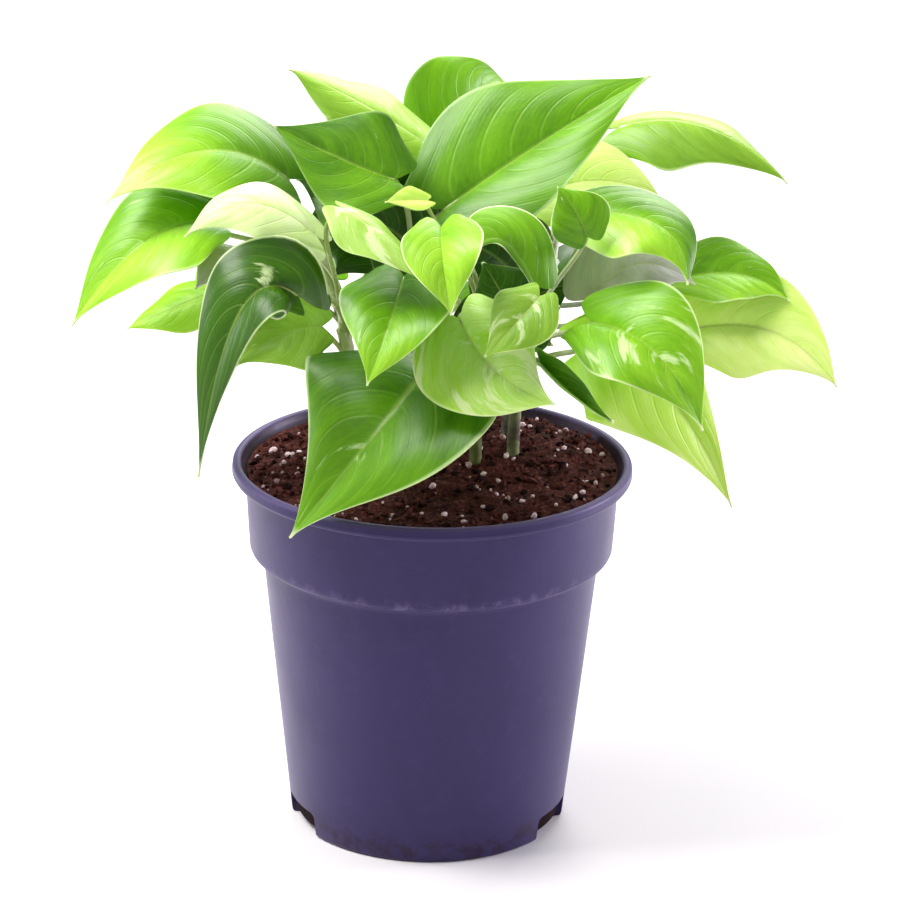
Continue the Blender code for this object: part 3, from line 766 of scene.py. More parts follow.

# Each leaf: where the blade joins its stalk, the point that its midrib bends towards, and its tip,
# in millimetres from the middle of the rim plane; its width; the way its upper side looks; the
# angle that its halves are folded up from flat; the stem that it grows on, and how far up; its
# tone; and its shades: stalk -, stalk +, tip -, tip +, streaks and margin. The four shades of
# the halves hold the blade's tone with painted light and shade on it.
LEAF_KEYS = ("seat", "bend", "tip", "width", "facing", "fold", "stem", "node", "tone", "shades")
LEAF_ROWS = {
    "top_back": ((1, 34, 110), (12, 44, 137), (25, 66, 129), 46, (0.1, -0.8, 0.5), 8, "back",
        0.95, "green", (0.44, 0.46, 0.5, 0.54, 0.1, 0.2)),
    "top_right": ((3, -8, 100), (35, 0, 123), (77, 8, 147), 58, (-0.3, -0.75, 0.6), 8, "middle",
        1, "green", (0.36, 0.26, 0.5, 0.56, 0.15, 0.3)),
    "top_left": ((-4, 16, 118), (-30, 18, 135), (-55, 20, 144), 42, (0.1, -0.4, 0.9), -20,
        "middle", 0.9, "pale", (0.38, 0.66, 0.42, 0.72, 0.5, 0.2)),
    "left_upper": ((-54, 0, 108), (-83, -11, 136), (-119, -26, 105), 56, (-0.2, -0.5, 0.85), -8,
        "left_back", 0.95, "green", (0.34, 0.22, 0.88, 0.92, 0.25, 0.3)),
    "left_inner": ((-15, -16, 113), (-32, -16, 118), (-60, -8, 130), 46, (-0.1, -0.6, 0.8), 5,
        "middle", 0.78, "green", (0.38, 0.3, 0.36, 0.3, 0.15, 0.2)),
    "left_shaded": ((-18, 5, 95), (-34, 10, 104), (-52, 16, 103), 44, (0, -0.7, 0.7), 5, "middle",
        0.6, "dark", (0.3, 0.25, 0.3, 0.25, 0.1, 0.1)),
    "left_pale": ((-42, -34, 96), (-67, -42, 123), (-89, -50, 100), 34, (-0.1, -0.45, 0.9), -18,
        "left_back", 0.7, "pale", (0.88, 0.92, 0.86, 0.92, 0.3, 0.2)),
    "front_ribbon": ((-33, -57, 114), (-20, -66, 110), (-4, -76, 93), 26, (0.3, -0.3, 0.9), -24,
        "left_front", 1, "pale", (0.56, 0.66, 0.52, 0.62, 0.75, 0.3)),
    "left_far": ((-84, -16, 96), (-107, -27, 99), (-131, -34, 61), 46, (-0.5, -0.6, 0.6), 5,
        "left_back", 0.82, "green", (0.62, 0.35, 0.76, 0.6, 0.3, 0.4)),
    "left_point": ((-80, -4, 66), (-97, -8, 60), (-113, -12, 53), 26, (0, -0.5, 0.85), -15,
        "left_back", 0.35, "yellow", (0.6, 0.45, 0.65, 0.55, 0.3, 0.5)),
    "left_small": ((-69, -26, 84), (-79, -32, 86), (-86, -38, 77), 22, (-0.2, -0.6, 0.7), 0,
        "left_back", 0.5, "pale", (0.55, 0.6, 0.7, 0.65, 0.3, 0.2)),
    "left_drooping": ((-48, -59, 81), (-71, -81, 110), (-83, -74, 18), 44, (-0.55, -0.75, 0.45),
        5, "left_front", 0.85, "dark", (0.22, 0.16, 0.2, 0.26, 0.45, 0.5)),
    "left_under": ((-41, -27, 60), (-54, -30, 62), (-72, -32, 46), 32, (0, -0.7, 0.7), -5,
        "left_front", 0.55, "pale", (0.5, 0.55, 0.45, 0.5, 0.2, 0.3)),
    "front_left": ((-11, -46, 86), (-14, -76, 81), (-23, -84, 57), 42, (-0.15, -0.85, 0.5), 6,
        "left_front", 0.93, "green", (0.24, 0.22, 0.72, 0.66, 0.2, 0.4)),
    "front_round": ((9, -52, 72), (18, -72, 56), (43, -80, 50), 48, (-0.1, -0.9, 0.45), 5,
        "front", 0.8, "green", (0.83, 0.76, 0.88, 0.84, 0.95, 0.5)),
    "rim_drape": ((-2, -36, 49), beyond_rim(-99, -4, 46), beyond_rim(-125, 13, -5), 78,
        (-0.25, -0.7, 0.65), 4, "front", 0.5, "green", (0.22, 0.2, 0.48, 0.52, 0.25, 0.5)),
    "centre": ((2, -58, 108), (2, -79, 103), (6, -80, 82), 30, (-0.1, -0.9, 0.5), 12, "front", 1,
        "green", (0.6, 0.58, 0.76, 0.78, 0.2, 0.9)),
    "young": ((-3, -36, 111), (-10, -42, 113), (-18, -46, 113), 11, (0, -0.6, 0.8), 10, "front",
        0.92, "yellow", (0.7, 0.75, 0.8, 0.8, 0.1, 0.3)),
    "hood": ((36, -50, 84), (20, -48, 117), (9, -58, 89), 20, (0, -0.5, 0.85), -5, "right", 0.8,
        "green", (0.38, 0.44, 0.46, 0.52, 0.2, 0.95)),
    "hood_side": ((54, -45, 101), (50, -46, 112), (43, -40, 118), 24, (0.1, -0.85, 0.5), 5,
        "right", 1, "green", (0.4, 0.45, 0.45, 0.48, 0.2, 0.7)),
    "ragged": ((37, -68, 86), (29, -78, 79), (18, -80, 67), 25, (-0.3, -0.85, 0.4), 0, "right",
        0.95, "pale", (0.4, 0.55, 0.5, 0.6, 0.7, 0.5)),
    "right_folded": ((52, -28, 105), (90, -36, 111), (90, -52, 86), 38, (0.35, -0.6, 0.7), -12,
        "right_back", 0.9, "green", (0.3, 0.92, 0.28, 0.6, 0.4, 0.4)),
    "right_upper": ((67, 36, 120), (99, 33, 133), (130, 18, 104), 44, (0.1, -0.35, 0.95), -28,
        "right_back", 1, "pale", (0.66, 0.4, 0.42, 0.36, 0.4, 0.5)),
    "right_yellow": ((31, 24, 95), (64, 22, 110), (83, 15, 98), 36, (0.1, -0.75, 0.65), 5,
        "right_back", 0.95, "yellow", (0.86, 0.88, 0.9, 0.92, 0.2, 0.3)),
    "right_far": ((92, 14, 69), (118, 18, 74), (132, 14, 60), 32, (0.2, -0.6, 0.8), 5,
        "right_back", 0.75, "green", (0.45, 0.6, 0.5, 0.62, 0.3, 0.4)),
    "right_outer": ((96, 12, 49), (130, 10, 59), (150, 0, 31), 46, (0.1, -0.75, 0.65), 3,
        "right_back", 0.45, "yellow", (0.84, 0.9, 0.88, 0.94, 0.3, 0.3)),
    "front_right": ((56, -47, 70), (81, -72, 76), (96, -74, 39), 44, (0.3, -0.8, 0.55), 6,
        "right", 0.95, "green", (0.46, 0.5, 0.56, 0.6, 0.6, 0.6)),
    "front_right_low": ((55, -34, 56), (82, -42, 62), (109, -52, 2), 50, (0.25, -0.8, 0.5), 6,
        "right", 0.7, "yellow", (0.48, 0.66, 0.82, 0.86, 0.3, 0.4)),
    "rolled": ((38, -56, 58), (50, -72, 49), (64, -78, 43), 13, (0.2, -0.7, 0.6), 50, "front",
        0.65, "dark", (0.34, 0.4, 0.4, 0.44, 0.1, 0.3)),
    "inner_grey": ((56, -8, 66), (74, -12, 92), (95, -13, 74), 42, (0.1, -0.7, 0.7), 0,
        "right_back", 0.6, "pale", (0.62, 0.5, 0.8, 0.7, 0.6, 0.4)),
    # inner_dark and inner_shade are painted near black-green: painted shade deep in the crown
    "inner_dark": ((28, -26, 66), (23, -25, 76), (17, -22, 84), 26, (0, -0.8, 0.6), 4, "front",
        0.75, "dark", (0.12, 0.1, 0.15, 0.12, 0.1, 0.1)),
    "inner_shade": ((12, 30, 34), (28, 32, 44), (45, 29, 36), 36, (0, -0.9, 0.3), 4, "back", 0.4,
        "dark", (0.08, 0.1, 0.12, 0.1, 0.1, 0.1)),
    "back_right": ((26, 60, 98), (48, 96, 118), (62, 118, 84), 50, (0.2, 0.55, 0.8), 6,
        "right_back", 0.85, "green", (0.4, 0.45, 0.5, 0.55, 0.4, 0.3)),
    "back_left": ((-34, 54, 96), (-60, 84, 116), (-84, 104, 80), 54, (-0.3, 0.5, 0.8), 6, "back",
        0.9, "green", (0.42, 0.38, 0.5, 0.46, 0.3, 0.3)),
    "back_centre": ((-2, 62, 84), (-6, 98, 104), (-12, 122, 60), 56, (0, 0.7, 0.7), 5, "back",
        0.75, "pale", (0.62, 0.66, 0.7, 0.68, 0.6, 0.4)),
    "back_low_left": ((-46, 38, 60), (-74, 62, 72), (-98, 76, 30), 50, (-0.5, 0.5, 0.7), 6,
        "left_back", 0.6, "green", (0.4, 0.44, 0.46, 0.5, 0.2, 0.3)),
    "back_low_right": ((50, 44, 58), (78, 66, 70), (100, 82, 26), 52, (0.5, 0.5, 0.7), 5,
        "right_back", 0.55, "dark", (0.25, 0.28, 0.32, 0.3, 0.2, 0.3)),
    "back_low": ((8, 58, 46), (14, 84, 56), (20, 98, 10), 48, (0.1, 0.8, 0.6), 4, "back", 0.5,
        "green", (0.4, 0.42, 0.48, 0.5, 0.3, 0.3)),
}

# Small blades in the dark middle of the crown, which the plain model leaves out. They are painted
# near black-green: painted shade where the middle of the crown lies in shadow.
INNER_ROWS = {
    "inner_pocket": ((34, 4, 66), (22, 0, 84), (6, -2, 86), 42, (0, -0.85, 0.5), 4, "front", 0.85,
        "dark", (0.1, 0.16, 0.12, 0.1, 0.1, 0.1)),
    "inner_high": ((-2, 12, 92), (-4, 12, 104), (-6, 10, 114), 34, (0, -0.9, 0.3), 4, "back", 0.8,
        "dark", (0.12, 0.1, 0.12, 0.1, 0.1, 0.1)),
    "inner_right": ((22, 4, 50), (36, 4, 66), (52, 0, 70), 38, (0, -0.9, 0.4), 4, "right_back",
        0.3, "dark", (0.14, 0.1, 0.2, 0.14, 0.1, 0.1)),
    "inner_left": ((-4, -2, 78), (-14, -6, 92), (-30, -8, 98), 40, (0, -0.85, 0.5), 4, "middle",
        0.6, "dark", (0.12, 0.14, 0.14, 0.12, 0.1, 0.1)),
    "inner_edge": ((-22, 12, 76), (-36, 14, 92), (-50, 12, 78), 36, (0, -0.85, 0.5), 4,
        "left_back", 0.7, "dark", (0.16, 0.14, 0.2, 0.16, 0.1, 0.1)),
}
LEAVES = {name: dict(zip(LEAF_KEYS, row)) for name, row in (LEAF_ROWS | INNER_ROWS).items()}
print("stems:", len(STEMS), "leaves:", len(LEAF_ROWS), "inner leaves:", len(INNER_ROWS))

# %% [markdown]
# ## The shape of a blade
#
# A pothos blade is heart shaped: two round lobes at the stalk, widest a third of the way along,
# then a long taper to a drawn-out tip. The flat pattern below gives its half width. The finished
# blade adds what makes it look grown: a sunk midrib, a soft pillow between the side veins, a
# rounded rise in each half, waves along the margin, and a slow twist. Each leaf has its own.

# %% The pattern of a blade
LEAF_WIDEST = 0.30
LEAF_BASE_WIDTH = 0.62
LEAF_TAPER = 1.35
LEAF_LOBE = 0.13
LEAF_LOBE_FADE = 4
LEAF_TIP_WIDTH = 0.5
BLADE_THICKNESS = 0.6
MIDRIB_DEPTH, MIDRIB_REACH = 0.55, 1.5
VEIN_PAIRS, VEIN_SLANT, VEIN_SWEEP = 7.0, 0.42, 1.3
VEIN_OFFSET = 0.35
QUILTING = 0.15
CAMBER = 0.07
MARGIN_WAVE = 1.0
TWIST = 7.0
FULL_WIDTH = 44.0
PETIOLE_RADIUS, PETIOLE_GAP = 1.3, 0.1
# Leaves whose halves differ: the share of the pattern's width that the - and the + half keep
LOPSIDED = {"left_drooping": (0.60, 0.94), "top_right": (1.14, 0.86), "hood": (0.25, 1.75),
            "front_right_low": (0.80, 1.20)}


def crown_point(values):
    return Vector(values) + Vector((0.0, 0.0, POT_HEIGHT))


def bezier(points, share):
    """A point part way along a curve of any order."""
    while len(points) > 1:
        points = [first.lerp(second, share) for first, second in zip(points, points[1:])]
    return points[0]


def leaf_frame(leaf, share):
    """A place on the midrib, the way along it, and the blade's upward and sideways directions."""
    seat, bend, tip = points = [crown_point(leaf[key]) for key in ("seat", "bend", "tip")]
    along = (bend - seat).lerp(tip - bend, share).normalized()
    facing = Vector(leaf["facing"])
    normal = (facing - along * facing.dot(along)).normalized()
    return bezier(points, share), along, normal, along.cross(normal)


def half_width(leaf, share):
    widest = leaf["width"] / 2
    if share < LEAF_WIDEST:
        rise = math.sin(math.pi / 2 * share / LEAF_WIDEST)
        return widest * (LEAF_BASE_WIDTH + (1 - LEAF_BASE_WIDTH) * rise)
    fall = math.cos(math.pi / 2 * (share - LEAF_WIDEST) / (1 - LEAF_WIDEST))
    return max(widest * fall ** LEAF_TAPER, LEAF_TIP_WIDTH / 2)


def habit(name, leaf):
    """The random habit of one leaf: its wave and twist, always the same for the same name."""
    chance = random.Random(name)
    length = (crown_point(leaf["tip"]) - crown_point(leaf["seat"])).length
    size = min(1.0, leaf["width"] / FULL_WIDTH)
    return dict(length=length, size=size, twist=math.radians(chance.uniform(-TWIST, TWIST)),
                phases=(chance.uniform(0, 6.28), chance.uniform(0, 6.28)),
                waves=chance.uniform(1.6, 2.6), seed=chance.random(),
                uneven=chance.uniform(-0.05, 0.05), sides=LOPSIDED.get(name, (1.0, 1.0)))


def blade_point(leaf, grown, share, across):
    """The place of one point of the finished blade, in millimetres."""
    point, along, normal, side = leaf_frame(leaf, share)
    turn = Quaternion(along, grown["twist"] * math.sin(math.pi * share))
    normal, side = turn @ normal, turn @ side
    width = half_width(leaf, share) * grown["sides"][across > 0]
    width *= 1 + grown["uneven"] * (1 if across > 0 else -1)
    reach = across * width
    away = abs(across)
    fold = math.radians(leaf["fold"])
    lobe = LEAF_LOBE * grown["length"] * (1 - share) ** LEAF_LOBE_FADE * math.sin(math.pi * away)
    phase = VEIN_PAIRS * (share - VEIN_SLANT * away ** VEIN_SWEEP)
    phase += VEIN_OFFSET if across > 0 else 0.0
    lift = CAMBER * width * (1 - (2 * away - 1) ** 2)
    lift -= MIDRIB_DEPTH * grown["size"] * math.exp(-((reach / MIDRIB_REACH) ** 2)) * (1 - share)
    lift += (QUILTING * grown["size"] * math.cos(2 * math.pi * phase)
             * math.sin(math.pi * min(1.0, away * 1.05)) ** 0.5 * (1 - share) ** 0.5)
    wave = grown["phases"][across > 0] + 2 * math.pi * grown["waves"] * share
    lift += (MARGIN_WAVE * grown["size"] * away ** 2.5 * math.sin(wave)
             * math.sin(math.pi * share) ** 0.5)
    return (point - along * lobe + side * reach * math.cos(fold)
            + normal * (abs(reach) * math.sin(fold) + lift))


print("widest leaf:", max(leaf["width"] for leaf in LEAVES.values()), "mm")

# %% [markdown]
# ## The stems
#
# Each stem is a short green vine that rises from the soil. A stalk leaves it for every leaf, wide
# and clasping where it starts, thin at the middle, and it runs on under the blade as the raised rib
# that can be felt there. A round tube drawn along a curve gives all of this, as each
# point of the curve can have its own thickness. The curves are then turned into one mesh per stem.

# %% Draw the vines and the stalks
STEM_RADIUS = 2.4
STEM_BURIED = 14.0
PETIOLE_RISE, PETIOLE_UNDER = 0.38, 0.5
STEM_POINTS, PETIOLE_POINTS = 8, 22
# The stalk's clasping foot, slim middle and cushion at the blade, then the rib below the blade
STALK_RADIUS, STALK_TAPER = 1.12, 0.1
CLASP, CLASP_LENGTH = 0.75, 0.3
CUSHION, CUSHION_LENGTH = 0.25, 0.12
RIB_RADIUS, RIB_REACH, RIB_END, RIB_CLEAR, RIB_POINTS = 1.25, 0.9, 0.93, 0.8, 10
JOINT_SWELL, JOINTS, VINE_TAPER = 0.32, 1.4, 0.22
TUBE_FACES = 3


def stem_route(stem):
    """The vine from under the soil to its growing tip."""
    x, y = stem["foot"]
    top = crown_point(stem["top"])
    foot = Vector((x, y, SOIL_LEVEL + soil_height(x, y)))
    upright = Vector((x, y, (foot.z + top.z) / 2))
    rising = [bezier([foot, upright, top], step / STEM_POINTS) for step in range(STEM_POINTS + 1)]
    return [foot - Vector((0.0, 0.0, STEM_BURIED))] + rising


def stalk_start(route, node):
    """The point on the vine where a stalk leaves it."""
    above = route[1:]
    place = node * (len(above) - 1)
    index = min(int(place), len(above) - 2)
    point = above[index].lerp(above[index + 1], place - index)
    return point - (above[-1] - above[-2]).normalized() * STEM_RADIUS


def stalk_points(leaf, grown, start):
    """Points and radii of a stalk, and of the rib that it becomes under the blade."""
    seat, along, normal, _ = leaf_frame(leaf, 0.0)
    end = seat - normal * (PETIOLE_RADIUS + PETIOLE_GAP)
    reach = (end - start).length
    rise = start + Vector((0.0, 0.0, reach * PETIOLE_RISE))
    under = end - (along * (1 - PETIOLE_UNDER) + normal * PETIOLE_UNDER) * reach * PETIOLE_RISE
    slim = min(1.0, 0.62 + leaf["width"] / 120.0)
    points = []
    for step in range(PETIOLE_POINTS + 1):
        share = step / PETIOLE_POINTS
        clasp = CLASP * max(0.0, 1 - share / CLASP_LENGTH)
        cushion = CUSHION * max(0.0, 1 - (1 - share) / CUSHION_LENGTH)
        radius = (STALK_RADIUS - STALK_TAPER * share + clasp + cushion) * slim
        points.append((bezier([start, rise, under, end], share), radius))
    for step in range(1, RIB_POINTS + 1):
        share = RIB_REACH * step / RIB_POINTS
        _, _, up, _ = leaf_frame(leaf, share)
        radius = RIB_RADIUS * slim * (1 - share / RIB_END) ** 0.8
        sunk = BLADE_THICKNESS / 2 + radius * RIB_CLEAR
        rib = blade_point(leaf, grown, share, 0.0) - up * sunk
        points.append((rib, radius))
    return points


def vine_points(route):
    """Points and radii of a vine, with a swollen ring at each joint."""
    points = []
    steps = 6 * (len(route) - 1)
    for step in range(steps + 1):
        place = step / 6
        index = min(int(place), len(route) - 2)
        point = route[index].lerp(route[index + 1], place - index)
        swell = JOINT_SWELL * math.exp(-(((place * JOINTS) % 1.0 - 0.5) / 0.12) ** 2)
        taper = 1.0 - VINE_TAPER * step / steps
        points.append((point, (STEM_RADIUS + swell) * taper))
    return points


def add_spline(curve, points):
    spline = curve.splines.new("NURBS")
    spline.points.add(len(points) - 1)
    for target, (point, radius) in zip(spline.points, points):
        target.co = (*(point * MM), 1.0)
        target.radius = radius
    spline.use_endpoint_u = True
    spline.order_u = 3
    spline.resolution_u = 2


def draw_stem(name, stem):
    """One stem: its vine, its stalks and their ribs as tubes, turned into one mesh."""
    curve = bpy.data.curves.new("tubes", "CURVE")
    curve.dimensions = "3D"
    curve.bevel_depth = MM
    curve.bevel_resolution = TUBE_FACES
    curve.use_fill_caps = True
    route = stem_route(stem)
    add_spline(curve, vine_points(route))
    for leaf_name, leaf in LEAVES.items():
        if leaf["stem"] == name:
            start = stalk_start(route, leaf["node"])
            add_spline(curve, stalk_points(leaf, habit(leaf_name, leaf), start))
    select_only(link_new(f"stem_{name}_tubes", curve))
    bpy.ops.object.convert(target="MESH")
    obj = new_piece(f"vine_{name}")
    edit_all(obj)
    bpy.ops.mesh.remove_doubles(threshold=WELD * MM)
    end_edit()
    bpy.ops.object.shade_smooth()
    hand_in(obj, "green_stem", f"stem_{name}")
    return obj


stems = {name: draw_stem(name, stem) for name, stem in STEMS.items()}
print("stem faces:", sum(len(obj.data.polygons) for obj in stems.values()))

# %% [markdown]
# Near the soil the vines are a deep brown: partly their own olive-brown, corky base and partly
# painted shade under the crown. Higher up they are the pale, cool green of celery, and those in the
# open on the right are almost white. Each stem carries its own paleness as a number on its points.

# %% Finish the stems
STEM_GREEN = (0.34, 0.46, 0.09, 1.0)
STEM_SHADE = (0.15, 0.25, 0.03, 1.0)
STEM_BRIGHT = (0.62, 0.74, 0.34, 1.0)
# Deep brown near the soil: the vine's own brown base and painted shade
STEM_BROWN_AND_SHADE = (0.048, 0.019, 0.011, 1.0)
STEM_LILAC = (0.72, 0.64, 0.80, 1.0)
PALENESS = {"left_front": 0.1, "left_back": 0.15, "middle": 0.2, "back": 0.2, "front": 0.05,
            "right": 0.35, "right_back": 0.8}


def finish_stem():
    material, tree, shader = new_material(
        "celery_stem", Subsurface_Weight=0.25, Subsurface_Scale=0.0015,
        Subsurface_Radius=(0.8, 1.0, 0.3), Coat_Weight=0.12, Coat_Roughness=0.3)
    place = object_place(tree)
    pale = point_number(tree, "paleness")
    green = place_group(tree, MOTTLE, Vector=place, Scale=70.0, Main=STEM_GREEN, Dark=STEM_SHADE,
                        Light=STEM_BRIGHT, Amount=0.6)["Colour"]
    spots = smooth_step(tree, noise_value(tree, place, 90.0, 3.0), 0.40, 0.62)
    lilac = mix_colour(tree, times(tree, pale, scaled(tree, spots, 0.45, 0.45)), green, STEM_LILAC)
    # Near the soil the stem is painted a deep brown: its own brown base and painted shade
    low = smooth_step(tree, height_of(tree, place), 0.190, 0.150)
    brown_and_shaded = mix_colour(tree, times(tree, low, scaled(tree, spots, 0.35, 0.62)), lilac, STEM_BROWN_AND_SHADE)
    rough = scaled(tree, low, 0.3, 0.4)
    coat(tree, shader, brown_and_shaded, rough, grain_height(tree, place, 800.0), 0.3, 0.0003)
    return material


stem_finish = finish_stem()
for stem_name, obj in stems.items():
    write_numbers(obj.data, "paleness", [PALENESS[stem_name]] * len(obj.data.vertices))
    obj.data.materials.append(stem_finish)
print("stem finish:", stem_finish.name)

# %% [markdown]
# ## The leaves
#
# One flat sheet is modelled and copied for every leaf. It is a grid whose map runs from the stalk
# to the tip and from side to side, so the veins can follow it. Each copy is bent to its place,
# and Solidify gives it the thickness of a real blade with its own underside.

# %% Model the flat sheet
SHEET_ROWS, SHEET_COLUMNS = 52, 24

let_go()
bpy.ops.mesh.primitive_grid_add(x_subdivisions=SHEET_ROWS, y_subdivisions=SHEET_COLUMNS, size=1.0)
sheet = new_piece("flat_sheet")
print("sheet:", len(sheet.data.polygons), "faces")

# %% [markdown]
# ## Veins and streaks
#
# The veins of a blade are drawn in its own map. The midrib runs where across is nothing. Side
# veins leave it in pairs and sweep towards the tip, so their number counts along minus a slant of
# across. The cream streaks of a pothos lie between the same veins, so their noise is stretched
# along them.

# %% Vein and streak groups
FINE_VEINS = 5.0


def make_leaf_map():
    """How far along and away from the midrib, and the count of the side veins, from a map."""
    tree, given, result = new_group(
        "leaf_map", [("Map", VECTOR, None), ("Seed", FLOAT, 0.0)],
        [("Along", FLOAT), ("Away", FLOAT), ("Count", FLOAT), ("Streaky", VECTOR)])
    axes = add_node(tree, "ShaderNodeSeparateXYZ", Vector=given["Map"]).outputs
    across = scaled(tree, axes["Y"], 2.0, -1.0)
    away = math_node(tree, "ABSOLUTE", across)
    slanted = times(tree, math_node(tree, "POWER", away, VEIN_SWEEP), -VEIN_SLANT)
    shifted = times(tree, math_node(tree, "GREATER_THAN", across, 0.0), VEIN_OFFSET)
    count = scaled(tree, math_node(tree, "ADD", axes["X"], slanted), VEIN_PAIRS, shifted)
    broad = times(tree, across, 1.3)
    deep = times(tree, given["Seed"], 40.0)
    streaky = add_node(tree, "ShaderNodeCombineXYZ", X=count, Y=broad, Z=deep).outputs["Vector"]
    for name, value in (("Along", axes["X"]), ("Away", away), ("Count", count),
                        ("Streaky", streaky)):
        tree.links.new(value, result[name])
    return tree


def from_middle(tree, count):
    """How far a count is from the middle between two whole numbers."""
    part = math_node(tree, "ADD", math_node(tree, "FRACT", count), -0.5)
    return math_node(tree, "ABSOLUTE", part)


def make_veins():
    """Masks of the midrib and the side veins, and their relief as seen from above."""
    tree, given, result = new_group(
        "leaf_veins", [("Away", FLOAT, 0.0), ("Count", FLOAT, 0.0), ("Broad", FLOAT, 0.05)],
        [("Midrib", FLOAT), ("Veins", FLOAT), ("Relief", FLOAT)])
    midrib = smooth_step(tree, given["Away"], given["Broad"], 0.008)
    veins = times(tree, smooth_step(tree, from_middle(tree, given["Count"]), 0.085, 0.015),
                  smooth_step(tree, given["Away"], 0.98, 0.55))
    fine = from_middle(tree, times(tree, given["Count"], FINE_VEINS))
    relief = scaled(tree, veins, 0.45, midrib)
    relief = scaled(tree, smooth_step(tree, fine, 0.22, 0.05), 0.09, relief)
    tree.links.new(midrib, result["Midrib"])
    tree.links.new(veins, result["Veins"])
    tree.links.new(relief, result["Relief"])
    return tree


def make_streaks():
    """Cream streaks and speckles that lie along the side veins."""
    tree, given, result = new_group(
        "cream_streaks", [("Streaky", VECTOR, None), ("Amount", FLOAT, 0.5)], [("Mask", FLOAT)])
    long_noise = noise_value(tree, given["Streaky"], 0.85, 3.0, 0.55, 0.4)
    speck_noise = noise_value(tree, given["Streaky"], 4.5, 4.0, 0.7, 0.3)
    low = scaled(tree, given["Amount"], -0.20, 0.73)
    high = math_node(tree, "ADD", low, 0.09)
    both = scaled(tree, speck_noise, 0.22, math_node(tree, "ADD", long_noise, -0.11))
    tree.links.new(smooth_step(tree, both, low, high), result["Mask"])
    return tree


LEAF_MAP = make_leaf_map()
LEAF_VEINS = make_veins()
CREAM_STREAKS = make_streaks()
print("groups:", [group.name for group in bpy.data.node_groups])

# %% [markdown]
# ## The leaf finishes
#
# There are four living finishes, from deep green to lime, and a withered one for old blades
# inside the crown. The deepest, dark, is a darker copy of the green, used mostly as painted shade
# for blades in shadow. Each has a duller one for the underside. The shade of a point picks a colour
# from a ramp, and noise moves that shade a little so that no blade is even; that shade holds the
# blade's tone with painted light and shade. The midrib and side veins are paler, streaks and
# margin are cream, and relief sinks the veins from above and raises them below. Light passes into
# the thin blade.

# %% Finish the leaves
RAMPS = {
    # finish: colours at shades 0, 0.25, 0.5, 0.75 and 1
    "green": ((0.010, 0.050, 0.001), (0.050, 0.165, 0.001), (0.165, 0.400, 0.003),
              (0.380, 0.680, 0.040), (0.720, 0.900, 0.400)),
    # dark: a darker copy of green, mostly for blades painted in shade
    "dark": ((0.008, 0.040, 0.001), (0.042, 0.130, 0.002), (0.120, 0.310, 0.004),
             (0.320, 0.600, 0.060), (0.700, 0.880, 0.440)),
    "pale": ((0.035, 0.100, 0.002), (0.120, 0.260, 0.006), (0.270, 0.480, 0.040),
             (0.500, 0.740, 0.180), (0.800, 0.920, 0.520)),
    "yellow": ((0.035, 0.110, 0.001), (0.130, 0.300, 0.002), (0.290, 0.560, 0.008),
               (0.520, 0.780, 0.090), (0.800, 0.920, 0.360)),
    "withered": ((0.060, 0.070, 0.030), (0.160, 0.180, 0.090), (0.330, 0.330, 0.260),
                 (0.560, 0.530, 0.530), (0.760, 0.720, 0.760)),
}
# Leaves whose finish isn't that of their tone
FINISHES = {"inner_grey": "withered", "left_small": "withered"}
CREAM = (0.80, 0.92, 0.52, 1.0)
RIB_PALE = (0.52, 0.70, 0.14, 1.0)


def blade_colour(tree, tone, under):
    """The colour of a blade, the relief of its veins, its streaks and their stretched map."""
    chart = add_node(tree, "ShaderNodeUVMap", {"uv_map": "UVMap"}).outputs["UV"]
    values = {key: point_number(tree, key) for key in ("shade", "seed", "streaks", "margin")}
    leaf_map = place_group(tree, LEAF_MAP, Map=chart, Seed=values["seed"])
    veins = place_group(tree, LEAF_VEINS, Away=leaf_map["Away"], Count=leaf_map["Count"])
    streaks = place_group(tree, CREAM_STREAKS, Streaky=leaf_map["Streaky"],
                          Amount=values["streaks"])["Mask"]
    wander = noise_value(tree, leaf_map["Streaky"], 0.7, 3.0, 0.6)
    fine = noise_value(tree, leaf_map["Streaky"], 9.0, 3.0, 0.6)
    shade = math_node(tree, "ADD", values["shade"], scaled(tree, wander, 0.42, -0.21))
    shade = math_node(tree, "ADD", shade, scaled(tree, fine, 0.14, -0.07))
    if under:
        shade = scaled(tree, shade, 0.62, 0.24)
    ramp = tree.nodes.new("ShaderNodeValToRGB")
    steps = ramp.color_ramp.elements
    while len(steps) < len(RAMPS[tone]):
        steps.new(0.5)
    for index, colour in enumerate(RAMPS[tone]):
        steps[index].position = index / (len(RAMPS[tone]) - 1)
        steps[index].color = (*colour, 1.0)
    plug_in(tree, ramp.inputs["Fac"], shade)
    colour = mix_colour(tree, times(tree, streaks, 0.30 if under else 0.62),
                        ramp.outputs["Color"], CREAM)
    lined = math_node(tree, "MAXIMUM", times(tree, veins["Veins"], 0.22 if under else 0.07),
                      times(tree, veins["Midrib"], 0.45 if under else 0.24))
    colour = mix_colour(tree, lined, colour, RIB_PALE)
    edge = times(tree, smooth_step(tree, leaf_map["Away"], 0.945, 0.99), values["margin"])
    tip = times(tree, smooth_step(tree, leaf_map["Along"], 0.955, 0.99), 0.8)
    colour = mix_colour(tree, math_node(tree, "MAXIMUM", edge, tip), colour, CREAM)
    return colour, veins["Relief"], streaks, leaf_map["Streaky"]


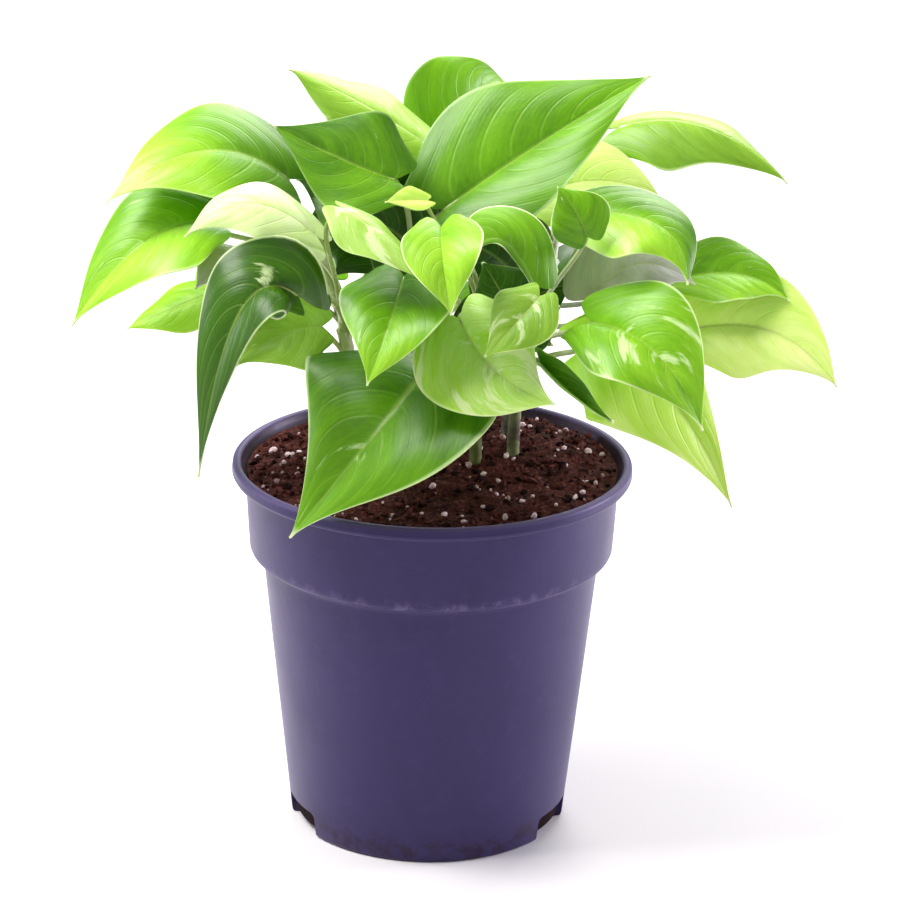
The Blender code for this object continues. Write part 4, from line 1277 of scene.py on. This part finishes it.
def finish_leaf(tone, under):
    material, tree, shader = new_material(
        f"{tone}_{'underside' if under else 'blade'}", Specular_IOR_Level=0.15 if under else 0.26,
        Subsurface_Weight=0.35, Subsurface_Scale=0.0018, Subsurface_Radius=(0.7, 1.0, 0.15),
        Coat_Weight=0.0 if under else 0.10, Coat_Roughness=0.25)
    colour, relief, streaks, streaky = blade_colour(tree, tone, under)
    cells = noise_value(tree, streaky, 26.0, 2.0)
    rough = scaled(tree, streaks, 0.08, scaled(tree, cells, 0.12, 0.46 if under else 0.32))
    height = scaled(tree, cells, 0.10, times(tree, relief, 0.9 if under else -0.7))
    coat(tree, shader, colour, rough, height, 0.38, 0.0007)
    return material


leaf_finishes = {(tone, under): finish_leaf(tone, under)
                 for tone in RAMPS for under in (False, True)}
print("leaf finishes:", len(leaf_finishes))

# %% [markdown]
# Now each leaf is grown: the flat sheet is copied, its points are moved to the pattern, the
# shades are written on them, and Solidify makes the underside with its own finish. The
# thickness grows downwards, so that the upper face lies where the pattern put it.

# %% Grow the leaves
TONE_SLOTS = {"green": "leaf_green", "dark": "leaf_dark", "pale": "leaf_pale",
              "yellow": "leaf_lime"}
HALF_CONTRAST = 2.2


def write_shades(obj, leaf, grown, chart):
    """Write a leaf's shade, seed, streaks and margin on its points."""
    stalk_minus, stalk_plus, tip_minus, tip_plus, streaks, margin = leaf["shades"]
    shades = []
    # The shades mix the blade's own tone with painted light and shade, half by half
    for share, across in chart:
        plus = 0.5 + 0.5 * math.tanh(HALF_CONTRAST * across)
        at_stalk = stalk_minus + (stalk_plus - stalk_minus) * plus
        at_tip = tip_minus + (tip_plus - tip_minus) * plus
        shades.append(at_stalk + (at_tip - at_stalk) * share)
    write_numbers(obj.data, "shade", shades)
    for key, value in (("seed", grown["seed"]), ("streaks", streaks), ("margin", margin)):
        write_numbers(obj.data, key, [value] * len(chart))


def grow_leaf(name, leaf):
    grown = habit(name, leaf)
    obj = link_new(f"blade_{name}", sheet.data.copy())
    obj.data.name = obj.name
    chart = [(vertex.co.x + 0.5, vertex.co.y * 2) for vertex in obj.data.vertices]
    for vertex, (share, across) in zip(obj.data.vertices, chart):
        vertex.co = blade_point(leaf, grown, share, across) * MM
    write_shades(obj, leaf, grown, chart)
    finish = FINISHES.get(name, leaf["tone"])
    obj.data.materials.append(leaf_finishes[finish, False])
    obj.data.materials.append(leaf_finishes[finish, True])
    edit_all(obj)
    end_edit()
    _, _, normal, _ = leaf_frame(leaf, 0.4)
    facing = sum((face.normal for face in obj.data.polygons), Vector())
    if facing.dot(normal) < 0:
        obj.data.flip_normals()
    apply_modifier(obj, "SOLIDIFY", thickness=BLADE_THICKNESS * MM, offset=-1.0,
                   material_offset=1, material_offset_rim=0)
    bpy.ops.object.shade_smooth_by_angle(angle=SHARPEST_LEAF_ANGLE)
    nodes = [f"leaf_{name}"] if name in LEAF_ROWS else []
    hand_in(obj, TONE_SLOTS[leaf["tone"]], *nodes)
    return obj


leaves = {name: grow_leaf(name, leaf) for name, leaf in LEAVES.items()}
bpy.data.objects.remove(sheet)
print("leaf faces:", sum(len(obj.data.polygons) for obj in leaves.values()))

# %% [markdown]
# ## Sizes and finish
#
# The finished plant is meant to fill the same box as the plain one. Both boxes are printed.

# %% Print the sizes and finish
let_go()
visual_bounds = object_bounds()
for label, box in (("plain", cad_bounds), ("finished", visual_bounds)):
    print(label, [[round(value / MM, 1) for value in corner] for corner in box])
